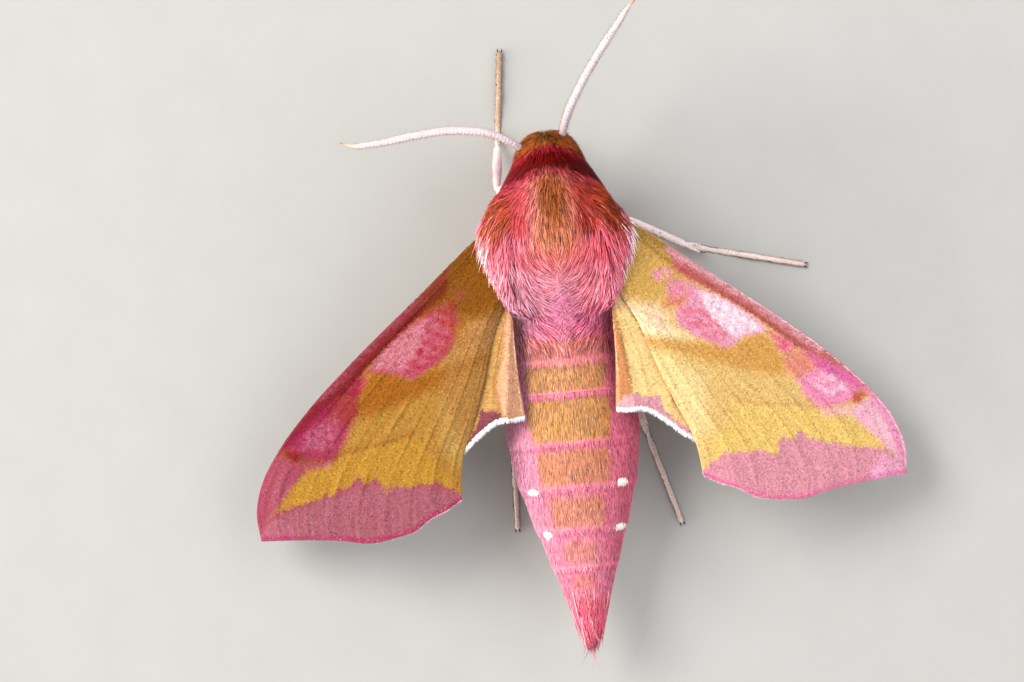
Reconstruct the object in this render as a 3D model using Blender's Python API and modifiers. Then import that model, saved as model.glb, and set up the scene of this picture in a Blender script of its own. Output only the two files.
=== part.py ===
"""A small elephant hawk moth at rest with its wings swept back: a life-size museum model.

The moth faces +Y with its right side at +X, and its feet stand on the floor at z = 0.
Lengths are in metres. Places along the body are measured from the line between the front
wing roots, and one empty carries every part to where the model's box is centred.
"""

import math

import bmesh
import bpy
import numpy as np

MM = 0.001
GAP = 0.3 * MM
SWELL = 1.7 * GAP
ROOT_LINE_Y = 6.62 * MM
SIDES = {"left": -1.0, "right": 1.0}
# EXACT leaves scraps along the edges of thin sheets and locks.
THIN_SHEET_SOLVER = "MANIFOLD"

# Each row of the body's tables is y, half width, and the lowest, widest and highest level.
HEAD = np.array([
    (5.50, 0.95, 4.90, 5.80, 6.70),
    (4.90, 1.40, 4.20, 6.10, 7.30),
    (4.10, 1.92, 3.85, 6.25, 7.75),
    (3.30, 2.20, 3.65, 6.20, 8.05),
    (2.20, 2.30, 3.60, 6.10, 8.10),
]) * MM
COLLAR = np.array([
    (3.60, 2.15, 3.80, 6.10, 8.20),
    (2.80, 2.75, 3.40, 6.10, 8.90),
    (1.90, 3.25, 3.10, 6.15, 9.50),
    (0.90, 3.45, 3.00, 6.20, 9.80),
]) * MM
THORAX = np.array([
    (2.60, 2.70, 3.50, 6.10, 8.90),
    (1.60, 3.35, 3.00, 6.20, 9.60),
    (0.00, 3.85, 2.60, 6.30, 10.10),
    (-1.60, 3.90, 2.50, 6.20, 10.10),
    (-3.40, 3.50, 2.50, 5.80, 9.30),
    (-5.40, 3.10, 2.60, 5.20, 8.20),
]) * MM
ABDOMEN = np.array([
    (-3.40, 2.90, 3.00, 5.20, 7.75),
    (-6.00, 3.30, 2.50, 4.90, 7.65),
    (-9.00, 3.75, 2.25, 4.60, 7.35),
    (-12.00, 3.92, 2.15, 4.35, 7.00),
    (-15.00, 3.50, 2.20, 4.20, 6.55),
    (-17.40, 2.82, 2.40, 4.05, 6.05),
    (-19.60, 2.08, 2.70, 4.05, 5.55),
    (-22.00, 1.50, 3.00, 4.10, 5.15),
]) * MM
SEGMENT_ENDS = np.array((-8.1, -10.0, -12.6, -15.25, -17.8, -20.0)) * MM
SEGMENT_GROOVE = 0.16 * MM
SEGMENT_GROOVE_WIDTH = 0.28 * MM
TAIL = np.array([
    (-20.60, 1.62, 2.90, 4.12, 5.28),
    (-22.40, 1.15, 3.20, 4.15, 4.95),
    (-23.90, 0.70, 3.60, 4.15, 4.70),
]) * MM
# Each piece's table, how many rings and segments it is made of, and where grooves run round it.
BODY = {
    "head": (HEAD, 14, 24, ()),
    "collar": (COLLAR, 14, 28, ()),
    "thorax": (THORAX, 20, 30, ()),
    "abdomen": (ABDOMEN, 38, 28, SEGMENT_ENDS),
    "tail": (TAIL, 10, 16, ()),
}
CAP_LENGTH = 0.9 * MM
TAIL_TIP = np.array((0.0, -25.6, 4.15)) * MM
TAIL_ROOT_Y = -21.9 * MM
TAIL_LOCKS = 13
TAIL_LOCK_RADIUS = 0.34 * MM

EYE_RADIUS = 0.85 * MM
EYE_PLACE = np.array((1.10, 4.05, 4.95)) * MM
PALP_RADIUS = 0.46 * MM
PALP_POINTS = 7
PALP_PATH = np.array([
    (0.62, 4.00, 3.90), (0.62, 4.75, 3.95), (0.58, 5.15, 4.55), (0.52, 5.20, 5.20),
]) * MM

ANTENNA_RADIUS = 0.27 * MM
ANTENNA_POINTS = 22
ANTENNA_HOOK = 0.85
ANTENNA_PATHS = {
    "left": np.array([
        (-1.15, 4.20, 6.60), (-1.70, 4.68, 7.00), (-3.18, 5.51, 7.35), (-5.32, 5.89, 7.45),
        (-7.50, 5.80, 7.40), (-9.70, 5.56, 7.35), (-11.20, 5.56, 7.30), (-11.86, 5.80, 7.05),
    ]) * MM,
    "right": np.array([
        (0.75, 4.30, 6.60), (0.92, 5.05, 7.15), (1.47, 6.48, 7.95), (2.38, 8.00, 8.75),
        (3.41, 9.45, 9.50), (4.60, 10.95, 10.15), (5.45, 12.00, 10.45), (5.85, 12.35, 10.20),
    ]) * MM,
}

WING_THICKNESS = 0.5 * MM
WING_ROOT_HEIGHT = 8.35 * MM
WING_ROOT_X = 3.3 * MM
WING_SLOPE = 0.25
WING_DROOP = 0.004 / MM
WING_SWEEP = {"left": math.radians(0.8), "right": math.radians(0.8)}
COSTA_ROLL = 0.3 * MM
COSTA_ROLL_SHARE = 0.09
VEIN_HEIGHT = 0.13 * MM
VEIN_HALF_WIDTH = 0.022
HINDWING_DROP = 1.05 * MM
ANAL_FOLD_X = 3.7 * MM
ANAL_FOLD_SLOPE = 0.25

# The forewing's four edges, seen from above on the right side, as x and y.
FORE_COSTA = np.array([
    (2.9, 0.7), (4.7, -0.55), (8.3, -3.4), (12.4, -6.65), (15.3, -9.2),
    (17.3, -11.4), (18.4, -13.1), (18.9, -14.8), (18.8, -16.4),
]) * MM
FORE_TERMEN = np.array([
    (18.8, -16.4), (17.0, -16.5), (14.1, -16.8), (12.5, -17.1), (10.8, -16.9), (9.8, -16.65),
    (8.9, -16.05), (7.8, -15.6), (6.95, -15.1),
]) * MM
FORE_DORSUM = np.array([
    (2.9, -3.6), (4.0, -5.6), (5.0, -8.6), (5.85, -10.9), (6.6, -12.7), (6.85, -13.9), (6.95, -15.1),
]) * MM
# Each vein's share of the way from costa to dorsum, and how far out along the wing it starts.
FORE_VEINS = (
    (0.10, 0.0), (0.24, 0.35), (0.36, 0.4), (0.48, 0.4), (0.60, 0.4), (0.72, 0.2), (0.84, 0.1), (0.95, 0.0),
)

HIND_COSTA = np.array([
    (2.9, -1.6), (4.6, -2.5), (7.5, -4.7), (10.4, -7.5), (12.6, -10.2), (13.5, -12.2), (13.2, -13.6),
]) * MM
HIND_TERMEN = np.array([
    (13.2, -13.6), (11.4, -14.2), (9.0, -13.9), (6.6, -12.95), (5.7, -12.1), (4.9, -11.55),
    (4.2, -11.2), (3.5, -11.2), (2.95, -11.05),
]) * MM
HIND_DORSUM = np.array([(2.7, -4.4), (2.72, -6.4), (2.7, -8.6), (2.72, -10.2), (2.95, -11.05)]) * MM
HIND_VEINS = ((0.12, 0.0), (0.28, 0.35), (0.42, 0.35), (0.56, 0.35), (0.70, 0.1), (0.84, 0.0))

FOREWING = {"edges": (FORE_COSTA, FORE_TERMEN, FORE_DORSUM), "veins": FORE_VEINS, "rows": 13, "under": False}
HINDWING = {"edges": (HIND_COSTA, HIND_TERMEN, HIND_DORSUM), "veins": HIND_VEINS, "rows": 10, "under": True}

TEGULA_PATH = np.array([
    (2.70, 2.3, 8.05), (3.10, 1.2, 8.55), (3.38, -0.6, 8.95), (3.10, -2.6, 8.90), (2.75, -4.9, 8.45),
]) * MM
TEGULA_HALF_WIDTHS = np.array((0.55, 0.95, 1.12, 0.95, 0.45)) * MM
TEGULA_HALF_THICKNESS = 0.60 * MM
TEGULA_ROLL = math.radians(28)

FOOT_RADIUS = 0.27 * MM
FOOT_AXIS_Z = 0.21 * MM
# Hip, knee and heel of each leg, in millimetres, and where its toe rests on the floor.
LEGS = {
    "leg_front_left": ((-1.2, 2.3, 3.9), (-3.15, 2.3, 3.5), (-2.85, 5.0, 0.75), (-2.2, 10.6)),
    "leg_front_right": ((1.2, 2.3, 3.9), (2.9, 1.6, 3.1), (2.7, 0.5, 0.75), (1.3, 4.7)),
    "leg_middle_left": ((-1.0, -0.8, 3.6), (-4.4, -1.7, 4.0), (-7.0, -4.3, 0.75), (-10.8, -9.4)),
    "leg_middle_right": ((1.0, -0.8, 3.6), (4.1, 0.1, 3.8), (7.75, -1.85, 0.75), (14.6, -3.6)),
    "leg_hind_left": ((-1.2, -3.0, 3.6), (-4.3, -6.6, 3.6), (-3.5, -11.4, 0.75), (-3.75, -17.6)),
    "leg_hind_right": ((1.2, -3.0, 3.6), (4.4, -6.6, 3.6), (4.05, -11.4, 0.75), (5.95, -18.1)),
}
FEMUR_RADIUS = 0.44 * MM
TIBIA_RADIUS = 0.33 * MM
TIBIA_BOW = 0.12 * MM
FOOT_BEND = 0.5 * MM
SPUR_LENGTH = 1.3 * MM
SPUR_RADIUS = 0.26 * MM
SPUR_ROOT = 0.25 * MM
# How far each spur points along the foot, and how far across it.
SPUR_AIMS = ((0.85, -0.35), (0.45, 0.85))

COLOURS = {  # linear colour, roughness
    "pink_fur": ((0.60, 0.13, 0.17), 0.9),
    "olive_fur": ((0.38, 0.16, 0.035), 0.9),
    "eye": ((0.05, 0.03, 0.02), 0.25),
    "pale_scale": ((0.74, 0.64, 0.60), 0.8),
    "wing_scale": ((0.58, 0.36, 0.10), 0.85),
}


def clear_scene():
    for obj in list(bpy.data.objects):
        bpy.data.objects.remove(obj, do_unlink=True)


def new_collection(name):
    collection = bpy.data.collections.new(name)
    bpy.context.scene.collection.children.link(collection)
    return collection


def material(name):
    found = bpy.data.materials.get(name)
    if found:
        return found
    colour, roughness = COLOURS[name]
    made = bpy.data.materials.new(name)
    made.use_nodes = True
    shader = made.node_tree.nodes["Principled BSDF"]
    shader.inputs["Base Color"].default_value = (*colour, 1.0)
    shader.inputs["Roughness"].default_value = roughness
    shader.inputs["Metallic"].default_value = 0.0
    return made


def smooth_rows(rows, at):
    """Values between the rows of a table, by a cubic. The first column is where each row stands."""
    order = np.argsort(rows[:, 0])
    places, values = rows[order, 0], rows[order, 1:]
    slopes = np.gradient(values, places, axis=0)
    at = np.clip(at, places[0], places[-1])
    i = np.clip(np.searchsorted(places, at) - 1, 0, len(places) - 2)
    step = places[i + 1] - places[i]
    t = (at - places[i]) / step
    return (
        values[i] * (1 + 2 * t) * (1 - t) ** 2
        + values[i + 1] * t * t * (3 - 2 * t)
        + slopes[i] * step * t * (1 - t) ** 2
        - slopes[i + 1] * step * t * t * (1 - t)
    )


def smooth_path(points, count):
    """That many points, evenly spaced by chord length, on a cubic through the given points."""
    steps = np.linalg.norm(np.diff(points, axis=0), axis=1)
    along = np.concatenate([[0.0], np.cumsum(steps)])
    rows = np.column_stack([along, points])
    return np.array([smooth_rows(rows, at) for at in np.linspace(0.0, along[-1], count)])


def at_share(points, share):
    """The point at a share of the way along a cubic through the given points."""
    steps = np.linalg.norm(np.diff(points, axis=0), axis=1)
    along = np.concatenate([[0.0], np.cumsum(steps)])
    return smooth_rows(np.column_stack([along, points]), share * along[-1])


def object_from(bm, name, collection, colour=None):
    mesh = bpy.data.meshes.new(name)
    bmesh.ops.recalc_face_normals(bm, faces=bm.faces)
    if enclosed(bm.faces) < 0:
        bmesh.ops.reverse_faces(bm, faces=bm.faces)
    bm.to_mesh(mesh)
    bm.free()
    obj = bpy.data.objects.new(name, mesh)
    collection.objects.link(obj)
    if colour:
        mesh.materials.append(material(colour))
    return obj


def make_cutter(obj):
    obj.hide_render = True
    obj.display_type = "WIRE"
    return obj


def apply_modifiers(obj):
    bpy.context.view_layer.update()
    evaluated = obj.evaluated_get(bpy.context.evaluated_depsgraph_get())
    mesh = bpy.data.meshes.new_from_object(evaluated)
    old = obj.data
    obj.modifiers.clear()
    obj.data = mesh
    bpy.data.meshes.remove(old)


def islands(bm):
    """The closed surfaces of a mesh, each as a set of faces."""
    left = set(bm.faces)
    found = []
    while left:
        stack = [left.pop()]
        island = set(stack)
        while stack:
            for edge in stack.pop().edges:
                for face in edge.link_faces:
                    if face in left:
                        left.remove(face)
                        island.add(face)
                        stack.append(face)
        found.append(island)
    return found


def enclosed(faces):
    """Volume inside a closed surface, from the signed volumes of its triangle fans."""
    total = 0.0
    for face in faces:
        first, *others = [v.co for v in face.verts]
        for a, b in zip(others, others[1:]):
            total += first.dot(a.cross(b)) / 6
    return total


def keep_largest(obj):
    bm = bmesh.new()
    bm.from_mesh(obj.data)
    found = sorted(islands(bm), key=enclosed)
    loose = [face for island in found[:-1] for face in island]
    bmesh.ops.delete(bm, geom=loose, context="FACES")
    bm.to_mesh(obj.data)
    bm.free()


def boolean(obj, others, operation, solver="EXACT"):
    """Joins or cuts a mesh with others through one collection, applies it, and removes them."""
    group = bpy.data.collections.new("boolean_with")
    bpy.context.scene.collection.children.link(group)
    for other in others:
        group.objects.link(other)
    bpy.context.view_layer.update()
    modifier = obj.modifiers.new("boolean", "BOOLEAN")
    modifier.operation = operation
    modifier.operand_type = "COLLECTION"
    modifier.collection = group
    modifier.solver = solver
    apply_modifiers(obj)
    for other in others:
        bpy.data.objects.remove(other, do_unlink=True)
    bpy.data.collections.remove(group)
    keep_largest(obj)
    return obj


def section_grid(piece, grow):
    """Points of a body piece whose sections follow its table, as rings from back pole to front pole."""
    rows, rings, segments, grooves = BODY[piece]
    back, front = rows[:, 0].min() - grow, rows[:, 0].max() + grow
    turn = np.linspace(-math.pi / 2, math.pi / 2, rings + 1)
    y = back + (np.sin(turn) + 1) / 2 * (front - back)
    width, low, level, high = np.array([smooth_rows(rows, value) for value in y]).T
    from_end = np.minimum(y - back, front - y) / CAP_LENGTH
    cap = np.sqrt(1 - (1 - np.clip(from_end, 0.0, 1.0)) ** 2)
    dip = sum(np.exp(-(((y - end) / SEGMENT_GROOVE_WIDTH) ** 2)) for end in grooves) * SEGMENT_GROOVE
    swell = grow - dip
    angle = np.linspace(0, 2 * math.pi, segments, endpoint=False)
    across = ((width + swell) * cap)[:, None] * np.cos(angle)
    up, down = ((high - level + swell) * cap)[:, None], ((level - low + swell) * cap)[:, None]
    z = level[:, None] + np.where(np.sin(angle) > 0, up, down) * np.sin(angle)
    return np.stack([across, np.broadcast_to(y[:, None], z.shape), z], axis=-1)


def body_piece(piece, collection, colour=None, grow=0.0):
    """A sphere primitive, its poles fore and aft, moved onto the sections of a table."""
    rings, segments = BODY[piece][1:3]
    grid = section_grid(piece, grow)
    bm = bmesh.new()
    bmesh.ops.create_uvsphere(bm, u_segments=segments, v_segments=rings, radius=1.0)
    for vert in bm.verts:
        ring = round((math.asin(max(-1.0, min(1.0, vert.co.z))) / math.pi + 0.5) * rings)
        turn = round(math.atan2(vert.co.y, vert.co.x) / (2 * math.pi) * segments) % segments
        vert.co = grid[ring, turn]
    return object_from(bm, piece, collection, colour)


def cutters_for(collection, *pieces):
    """Body pieces grown by the gap, to cut their neighbours back."""
    return [make_cutter(body_piece(piece, collection, grow=GAP)) for piece in pieces]


def tube(name, path, radii, collection, colour=None, resolution=2):
    """A tapered tube along a path, from a curve with a bevel, as a closed mesh."""
    curve = bpy.data.curves.new(name, "CURVE")
    curve.dimensions = "3D"
    curve.bevel_depth = 1.0
    curve.bevel_resolution = resolution
    curve.use_fill_caps = True
    spline = curve.splines.new("POLY")
    spline.points.add(len(path) - 1)
    for point, place, radius in zip(spline.points, path, radii):
        point.co = (*place, 1.0)
        point.radius = radius
    drawn = bpy.data.objects.new(name + "_curve", curve)
    collection.objects.link(drawn)
    bpy.context.view_layer.update()
    evaluated = drawn.evaluated_get(bpy.context.evaluated_depsgraph_get())
    bm = bmesh.new()
    bm.from_mesh(bpy.data.meshes.new_from_object(evaluated))
    bmesh.ops.remove_doubles(bm, verts=bm.verts, dist=0.001 * MM)
    bpy.data.objects.remove(drawn, do_unlink=True)
    return object_from(bm, name, collection, colour)


def rounded_tube(name, path, radius, end_radius, collection, colour=None, resolution=2):
    """A tube whose two ends are rounded off over the length of their own radius."""
    count = len(path)
    radii = np.linspace(radius, end_radius, count)
    first, last = path[0] - path[1], path[-1] - path[-2]
    first, last = first / np.linalg.norm(first), last / np.linalg.norm(last)
    caps = ((0.6, 0.8), (0.95, 0.3))
    front = [(path[0] + first * radius * ahead, radius * share) for ahead, share in caps]
    back = [(path[-1] + last * end_radius * ahead, end_radius * share) for ahead, share in caps]
    points = [*reversed(front), *zip(path, radii), *back]
    return tube(name, [p for p, _ in points], [r for _, r in points], collection, colour, resolution)


def wing_height(x, rolled):
    """Height of the front wing: a slope that steepens outwards, with its leading edge rolled down."""
    out = x - WING_ROOT_X
    return WING_ROOT_HEIGHT - WING_SLOPE * out - WING_DROOP * max(out, 0.0) ** 2 - COSTA_ROLL * rolled


def hindwing_height(x):
    """The hind wing lies under the front wing, and folds down to the abdomen inside its anal fold."""
    return wing_height(x, 0.0) - HINDWING_DROP - ANAL_FOLD_SLOPE * max(ANAL_FOLD_X - x, 0.0)


def patch_point(edges, u, v):
    """A point of the patch between a wing's edges: u runs out along the wing, and v from costa to dorsum."""
    costa, termen, dorsum = edges
    along_root = costa[0] + v * (dorsum[0] - costa[0])
    corner_blend = (
        (1 - u) * (1 - v) * costa[0] + u * (1 - v) * costa[-1] + (1 - u) * v * dorsum[0] + u * v * dorsum[-1]
    )
    return (
        (1 - u) * along_root
        + u * at_share(termen, v)
        + (1 - v) * at_share(costa, u)
        + v * at_share(dorsum, u)
        - corner_blend
    )


def vein_columns(veins):
    """Where the mesh's columns run across the wing: for every vein, a crest between two feet."""
    columns = {0.0: None, 1.0: None}
    for place, start in veins:
        columns[place - VEIN_HALF_WIDTH] = None
        columns[place] = start
        columns[place + VEIN_HALF_WIDTH] = None
    return sorted(columns.items())


def wing(name, shape, side, collection, colour=None):
    """A wing as a thin sheet with its veins raised: a grid primitive moved onto a patch and thickened."""
    columns = vein_columns(shape["veins"])
    rows = shape["rows"]
    sweep = side * WING_SWEEP["right" if side > 0 else "left"]
    bm = bmesh.new()
    bmesh.ops.create_grid(bm, x_segments=rows, y_segments=len(columns) - 1, size=0.5)
    for vert in bm.verts:
        u = round((vert.co.x + 0.5) * rows) / rows
        v, start = columns[round((vert.co.y + 0.5) * (len(columns) - 1))]
        x, y = patch_point(shape["edges"], u, v)
        rolled = max(0.0, 1 - v / COSTA_ROLL_SHARE) * min(1.0, 4 * u)
        z = hindwing_height(x) if shape["under"] else wing_height(x, rolled)
        if start is not None:
            z += VEIN_HEIGHT * min(1.0, max(0.0, 5 * (u - start) + 0.5)) * min(1.0, 6 * (1 - u) + 0.2)
        out = x - WING_ROOT_X
        x = WING_ROOT_X + out * math.cos(sweep) - y * math.sin(sweep)
        y = out * math.sin(sweep) + y * math.cos(sweep)
        vert.co = (side * x, y, z)
    bmesh.ops.triangulate(bm, faces=bm.faces)
    obj = object_from(bm, name, collection, colour)
    solid = obj.modifiers.new("thickness", "SOLIDIFY")
    solid.thickness = WING_THICKNESS
    solid.offset = 0.0
    apply_modifiers(obj)
    return obj


def tegula(name, side, collection, colour):
    """The flap over a wing root: a sphere primitive drawn out along a path and rolled onto the shoulder."""
    rings, segments = 14, 16
    bm = bmesh.new()
    bmesh.ops.create_uvsphere(bm, u_segments=segments, v_segments=rings, radius=1.0)
    rows = np.column_stack([np.linspace(0, 1, len(TEGULA_PATH)), TEGULA_PATH, TEGULA_HALF_WIDTHS])
    for vert in bm.verts:
        x, y, z, half = smooth_rows(rows, (1 - vert.co.z) / 2)
        across, up = vert.co.x * half, vert.co.y * TEGULA_HALF_THICKNESS
        vert.co = (
            side * (x + across * math.cos(TEGULA_ROLL) + up * math.sin(TEGULA_ROLL)),
            y,
            z - across * math.sin(TEGULA_ROLL) + up * math.cos(TEGULA_ROLL),
        )
    return object_from(bm, name, collection, colour)


def eye_ball(name, side, radius, collection, colour=None):
    bm = bmesh.new()
    bmesh.ops.create_uvsphere(bm, u_segments=18, v_segments=12, radius=radius)
    bmesh.ops.translate(bm, verts=bm.verts, vec=EYE_PLACE * np.array((side, 1.0, 1.0)))
    return object_from(bm, name, collection, colour)


def eye_sockets(collection):
    """Balls a gap larger than the eyes, to hollow the head out round them."""
    radius = EYE_RADIUS + GAP
    return [make_cutter(eye_ball("eye_socket", side, radius, collection)) for side in SIDES.values()]


def tail_piece(collection, colour):
    """The last segment with its brush of tapered locks, fused into one piece."""
    core = body_piece("tail", collection, colour)
    width, low, level, high = smooth_rows(TAIL, TAIL_ROOT_Y)
    locks = []
    for number in range(TAIL_LOCKS):
        turn = 2 * math.pi * number / TAIL_LOCKS
        tall = high - level if math.sin(turn) > 0 else level - low
        around = np.array((width * math.cos(turn), 0.0, tall * math.sin(turn)))
        root = np.array((0.0, TAIL_ROOT_Y, level)) + around * 0.78
        reach = 1.0 - 0.13 * (number % 3)
        tip = root + (TAIL_TIP - root) * reach + around * 0.14
        path = [root, root * 0.65 + tip * 0.35 + around * 0.06, root * 0.3 + tip * 0.7 + around * 0.04, tip]
        radii = [TAIL_LOCK_RADIUS * share for share in (1.0, 1.0, 0.7, 0.12)]
        locks.append(tube(f"lock_{number}", path, radii, collection, resolution=0))
    return boolean(core, locks, "UNION", THIN_SHEET_SOLVER)


def spurs(knee, heel, ahead, collection):
    """The two spurs at a tibia's end, as tapered cones that point ahead and back."""
    down = (heel - knee) / np.linalg.norm(heel - knee)
    sideways = abs(ahead[0]) > abs(ahead[1])
    back = np.array((0.0, -1.0, 0.0)) if sideways else np.array((-np.sign(heel[0]), 0.0, 0.0))
    radii = [SPUR_RADIUS, SPUR_RADIUS * 0.75, SPUR_RADIUS * 0.2]
    start = heel - down * SPUR_ROOT
    made = []
    for forward, aside in SPUR_AIMS:
        reach = (ahead * forward + back * aside + np.array((0.0, 0.0, -0.08))) * SPUR_LENGTH
        path = [start, start + reach * 0.5, start + reach]
        made.append(tube("spur", path, radii, collection, resolution=0))
    return made


def leg(name, joints, collection, colour):
    """Femur, tibia and tarsus of one leg, fused with its spurs."""
    hip, knee, heel = (np.array(joint) * MM for joint in joints[:3])
    toe = np.array((joints[3][0] * MM, joints[3][1] * MM, FOOT_AXIS_Z))
    below_heel = np.array((heel[0], heel[1], FOOT_AXIS_Z))
    ahead = (toe - below_heel) / np.linalg.norm(toe - below_heel)
    foot_start = below_heel + ahead * FOOT_BEND
    femur_path = np.array([hip, (hip + knee) / 2, knee])
    tibia_path = np.array([knee, knee * 0.6 + heel * 0.4 + np.array((0.0, 0.0, TIBIA_BOW)), heel])
    tarsus_path = np.array([heel, foot_start, (foot_start + toe) / 2, toe])
    femur = rounded_tube(name, femur_path, FEMUR_RADIUS, FEMUR_RADIUS * 0.85, collection, colour)
    tibia = rounded_tube("tibia", tibia_path, TIBIA_RADIUS, TIBIA_RADIUS * 0.9, collection)
    tarsus = rounded_tube("tarsus", tarsus_path, FOOT_RADIUS, FOOT_RADIUS * 0.9, collection)
    with_spurs = [] if name.startswith("leg_front") else spurs(knee, heel, ahead, collection)
    return boolean(femur, [tibia, tarsus, *with_spurs], "UNION")


def floor_block(collection):
    bm = bmesh.new()
    bmesh.ops.create_cube(bm, size=60 * MM)
    bmesh.ops.translate(bm, verts=bm.verts, vec=(0.0, 0.0, -30 * MM))
    return make_cutter(object_from(bm, "floor_block", collection))


def swollen_copy(obj, name, collection):
    """A copy of a closed piece, swollen all over, to cut its neighbours back."""
    copy = bpy.data.objects.new(name, obj.data.copy())
    collection.objects.link(copy)
    swell = copy.modifiers.new("swell", "DISPLACE")
    swell.strength = SWELL
    swell.mid_level = 0.0
    apply_modifiers(copy)
    return make_cutter(copy)


def add_trunk(parts, cutters):
    """Head, collar, thorax, abdomen and tail, each cut back from the one that it sits against."""
    body_piece("thorax", parts, "pink_fur")
    collar = body_piece("collar", parts, "pink_fur")
    boolean(collar, [*cutters_for(cutters, "thorax"), *eye_sockets(cutters)], "DIFFERENCE")
    head = body_piece("head", parts, "olive_fur")
    boolean(head, [*cutters_for(cutters, "collar", "thorax"), *eye_sockets(cutters)], "DIFFERENCE")
    abdomen = body_piece("abdomen", parts, "pink_fur")
    boolean(abdomen, cutters_for(cutters, "thorax"), "DIFFERENCE")
    tail = tail_piece(parts, "pink_fur")
    boolean(tail, cutters_for(cutters, "abdomen"), "DIFFERENCE", THIN_SHEET_SOLVER)


def add_head_parts(side_name, side, parts, cutters):
    """The eye, palp and antenna of one side."""
    eye_ball("eye_" + side_name, side, EYE_RADIUS, parts, "eye")

    path = smooth_path(PALP_PATH * np.array((side, 1, 1)), PALP_POINTS)
    palp = rounded_tube("palp_" + side_name, path, PALP_RADIUS, PALP_RADIUS * 0.6, parts, "pink_fur", 3)
    boolean(palp, [*cutters_for(cutters, "head"), *eye_sockets(cutters)], "DIFFERENCE")

    path = smooth_path(ANTENNA_PATHS[side_name], ANTENNA_POINTS)
    share = np.linspace(0, 1, ANTENNA_POINTS)
    beyond_hook = np.clip((share - ANTENNA_HOOK) / (1 - ANTENNA_HOOK), 0.0, 1.0)
    radii = ANTENNA_RADIUS * (1 - 0.75 * beyond_hook)
    antenna = tube("antenna_" + side_name, path, radii, parts, "pale_scale")
    boolean(antenna, cutters_for(cutters, "head"), "DIFFERENCE")


def add_wings(side_name, side, parts, cutters):
    """The two wings of one side, cut back from the body, and the tegula that covers their roots."""
    forewing = wing("forewing_" + side_name, FOREWING, side, parts, "wing_scale")
    over_wing = swollen_copy(forewing, "wing_cutter", cutters)
    boolean(forewing, cutters_for(cutters, "thorax", "abdomen"), "DIFFERENCE", THIN_SHEET_SOLVER)
    hindwing = wing("hindwing_" + side_name, HINDWING, side, parts, "wing_scale")
    boolean(hindwing, cutters_for(cutters, "thorax", "abdomen"), "DIFFERENCE", THIN_SHEET_SOLVER)
    flap = tegula("tegula_" + side_name, side, parts, "pink_fur")
    boolean(flap, [*cutters_for(cutters, "thorax", "collar"), over_wing], "DIFFERENCE")


def build_moth():
    clear_scene()
    parts = new_collection("small_elephant_hawk_moth")
    cutters = new_collection("cutters")
    add_trunk(parts, cutters)
    for side_name, side in SIDES.items():
        add_head_parts(side_name, side, parts, cutters)
        add_wings(side_name, side, parts, cutters)
    for name, joints in LEGS.items():
        limb = leg(name, joints, parts, "pale_scale")
        against = [*cutters_for(cutters, "thorax", "abdomen", "collar"), floor_block(cutters)]
        boolean(limb, against, "DIFFERENCE")

    frame = bpy.data.objects.new("moth_frame", None)
    frame.location = (0.0, ROOT_LINE_Y, 0.0)
    parts.objects.link(frame)
    for obj in parts.objects:
        if obj is not frame:
            obj.parent = frame
            obj.data.shade_smooth()
            obj.data.set_sharp_from_angle(angle=math.radians(50))


build_moth()
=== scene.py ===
"""Looks of a small elephant hawk moth at rest, life-size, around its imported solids.

Every form is a surface of two shares, a and b, worked out as whole arrays in millimetres in the
moth's own frame: +X is its right side, +Y its head, and y = 0 the line between the front wing roots.
"""

import logging
import math
from dataclasses import dataclass, field, replace
from enum import Enum
from typing import Callable

import bpy
import numpy as np
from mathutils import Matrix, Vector


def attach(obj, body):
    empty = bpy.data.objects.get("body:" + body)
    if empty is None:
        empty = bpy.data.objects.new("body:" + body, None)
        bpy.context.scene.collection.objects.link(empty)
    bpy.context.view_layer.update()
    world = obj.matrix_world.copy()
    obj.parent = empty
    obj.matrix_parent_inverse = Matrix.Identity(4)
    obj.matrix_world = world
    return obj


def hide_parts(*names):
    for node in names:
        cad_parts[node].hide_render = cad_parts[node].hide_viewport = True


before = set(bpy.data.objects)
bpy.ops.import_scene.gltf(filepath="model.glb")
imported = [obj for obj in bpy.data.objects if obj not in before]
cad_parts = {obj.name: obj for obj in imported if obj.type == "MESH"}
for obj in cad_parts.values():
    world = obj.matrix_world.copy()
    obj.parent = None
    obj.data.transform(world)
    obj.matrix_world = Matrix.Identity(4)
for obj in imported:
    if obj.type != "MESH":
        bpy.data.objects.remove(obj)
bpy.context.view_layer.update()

Array = np.ndarray
Rng = np.random.Generator
Points = tuple[tuple[float, ...], ...]
Span = tuple[tuple[float, float], tuple[float, float]]
Tile = tuple[float, float, float, float]
Shades = tuple[tuple[float, str], ...]
log = logging.getLogger("moth")

MM = 0.001
ROOT_LINE_Y = 6.62
MARKINGS = "Markings"
BAKE_MAP = "OFBake"
PATCH = 0.0015
SEED = 1758


class Side(Enum):
    """The moth's left and right, as the sign of x."""

    LEFT = -1.0
    RIGHT = 1.0

    @property
    def word(self) -> str:
        """The side's name as the solids' names end in it."""
        return self.name.lower()


# Numbers and colours


def unit(vectors: Array) -> Array:
    """Vectors divided by their own length."""
    return vectors / np.maximum(np.linalg.norm(vectors, axis=-1, keepdims=True), 1e-9)


def ease(low: float | Array, high: float | Array, value: Array) -> Array:
    """0 below low, 1 above high, and 3t^2 - 2t^3 between them."""
    t = np.clip((value - low) / (high - low), 0.0, 1.0)
    return t * t * (3 - 2 * t)


def linear(colour: str) -> Array:
    """An sRGB hex colour as linear red, green and blue."""
    value = np.array([int(colour[i : i + 2], 16) for i in (1, 3, 5)]) / 255
    return np.where(value <= 0.04045, value / 12.92, ((value + 0.055) / 1.055) ** 2.4)


def corners(text: str) -> Points:
    """Points written in one line of text: numbers parted by spaces, and points by commas."""
    return tuple(tuple(map(float, point.split())) for point in text.split(","))


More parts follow.
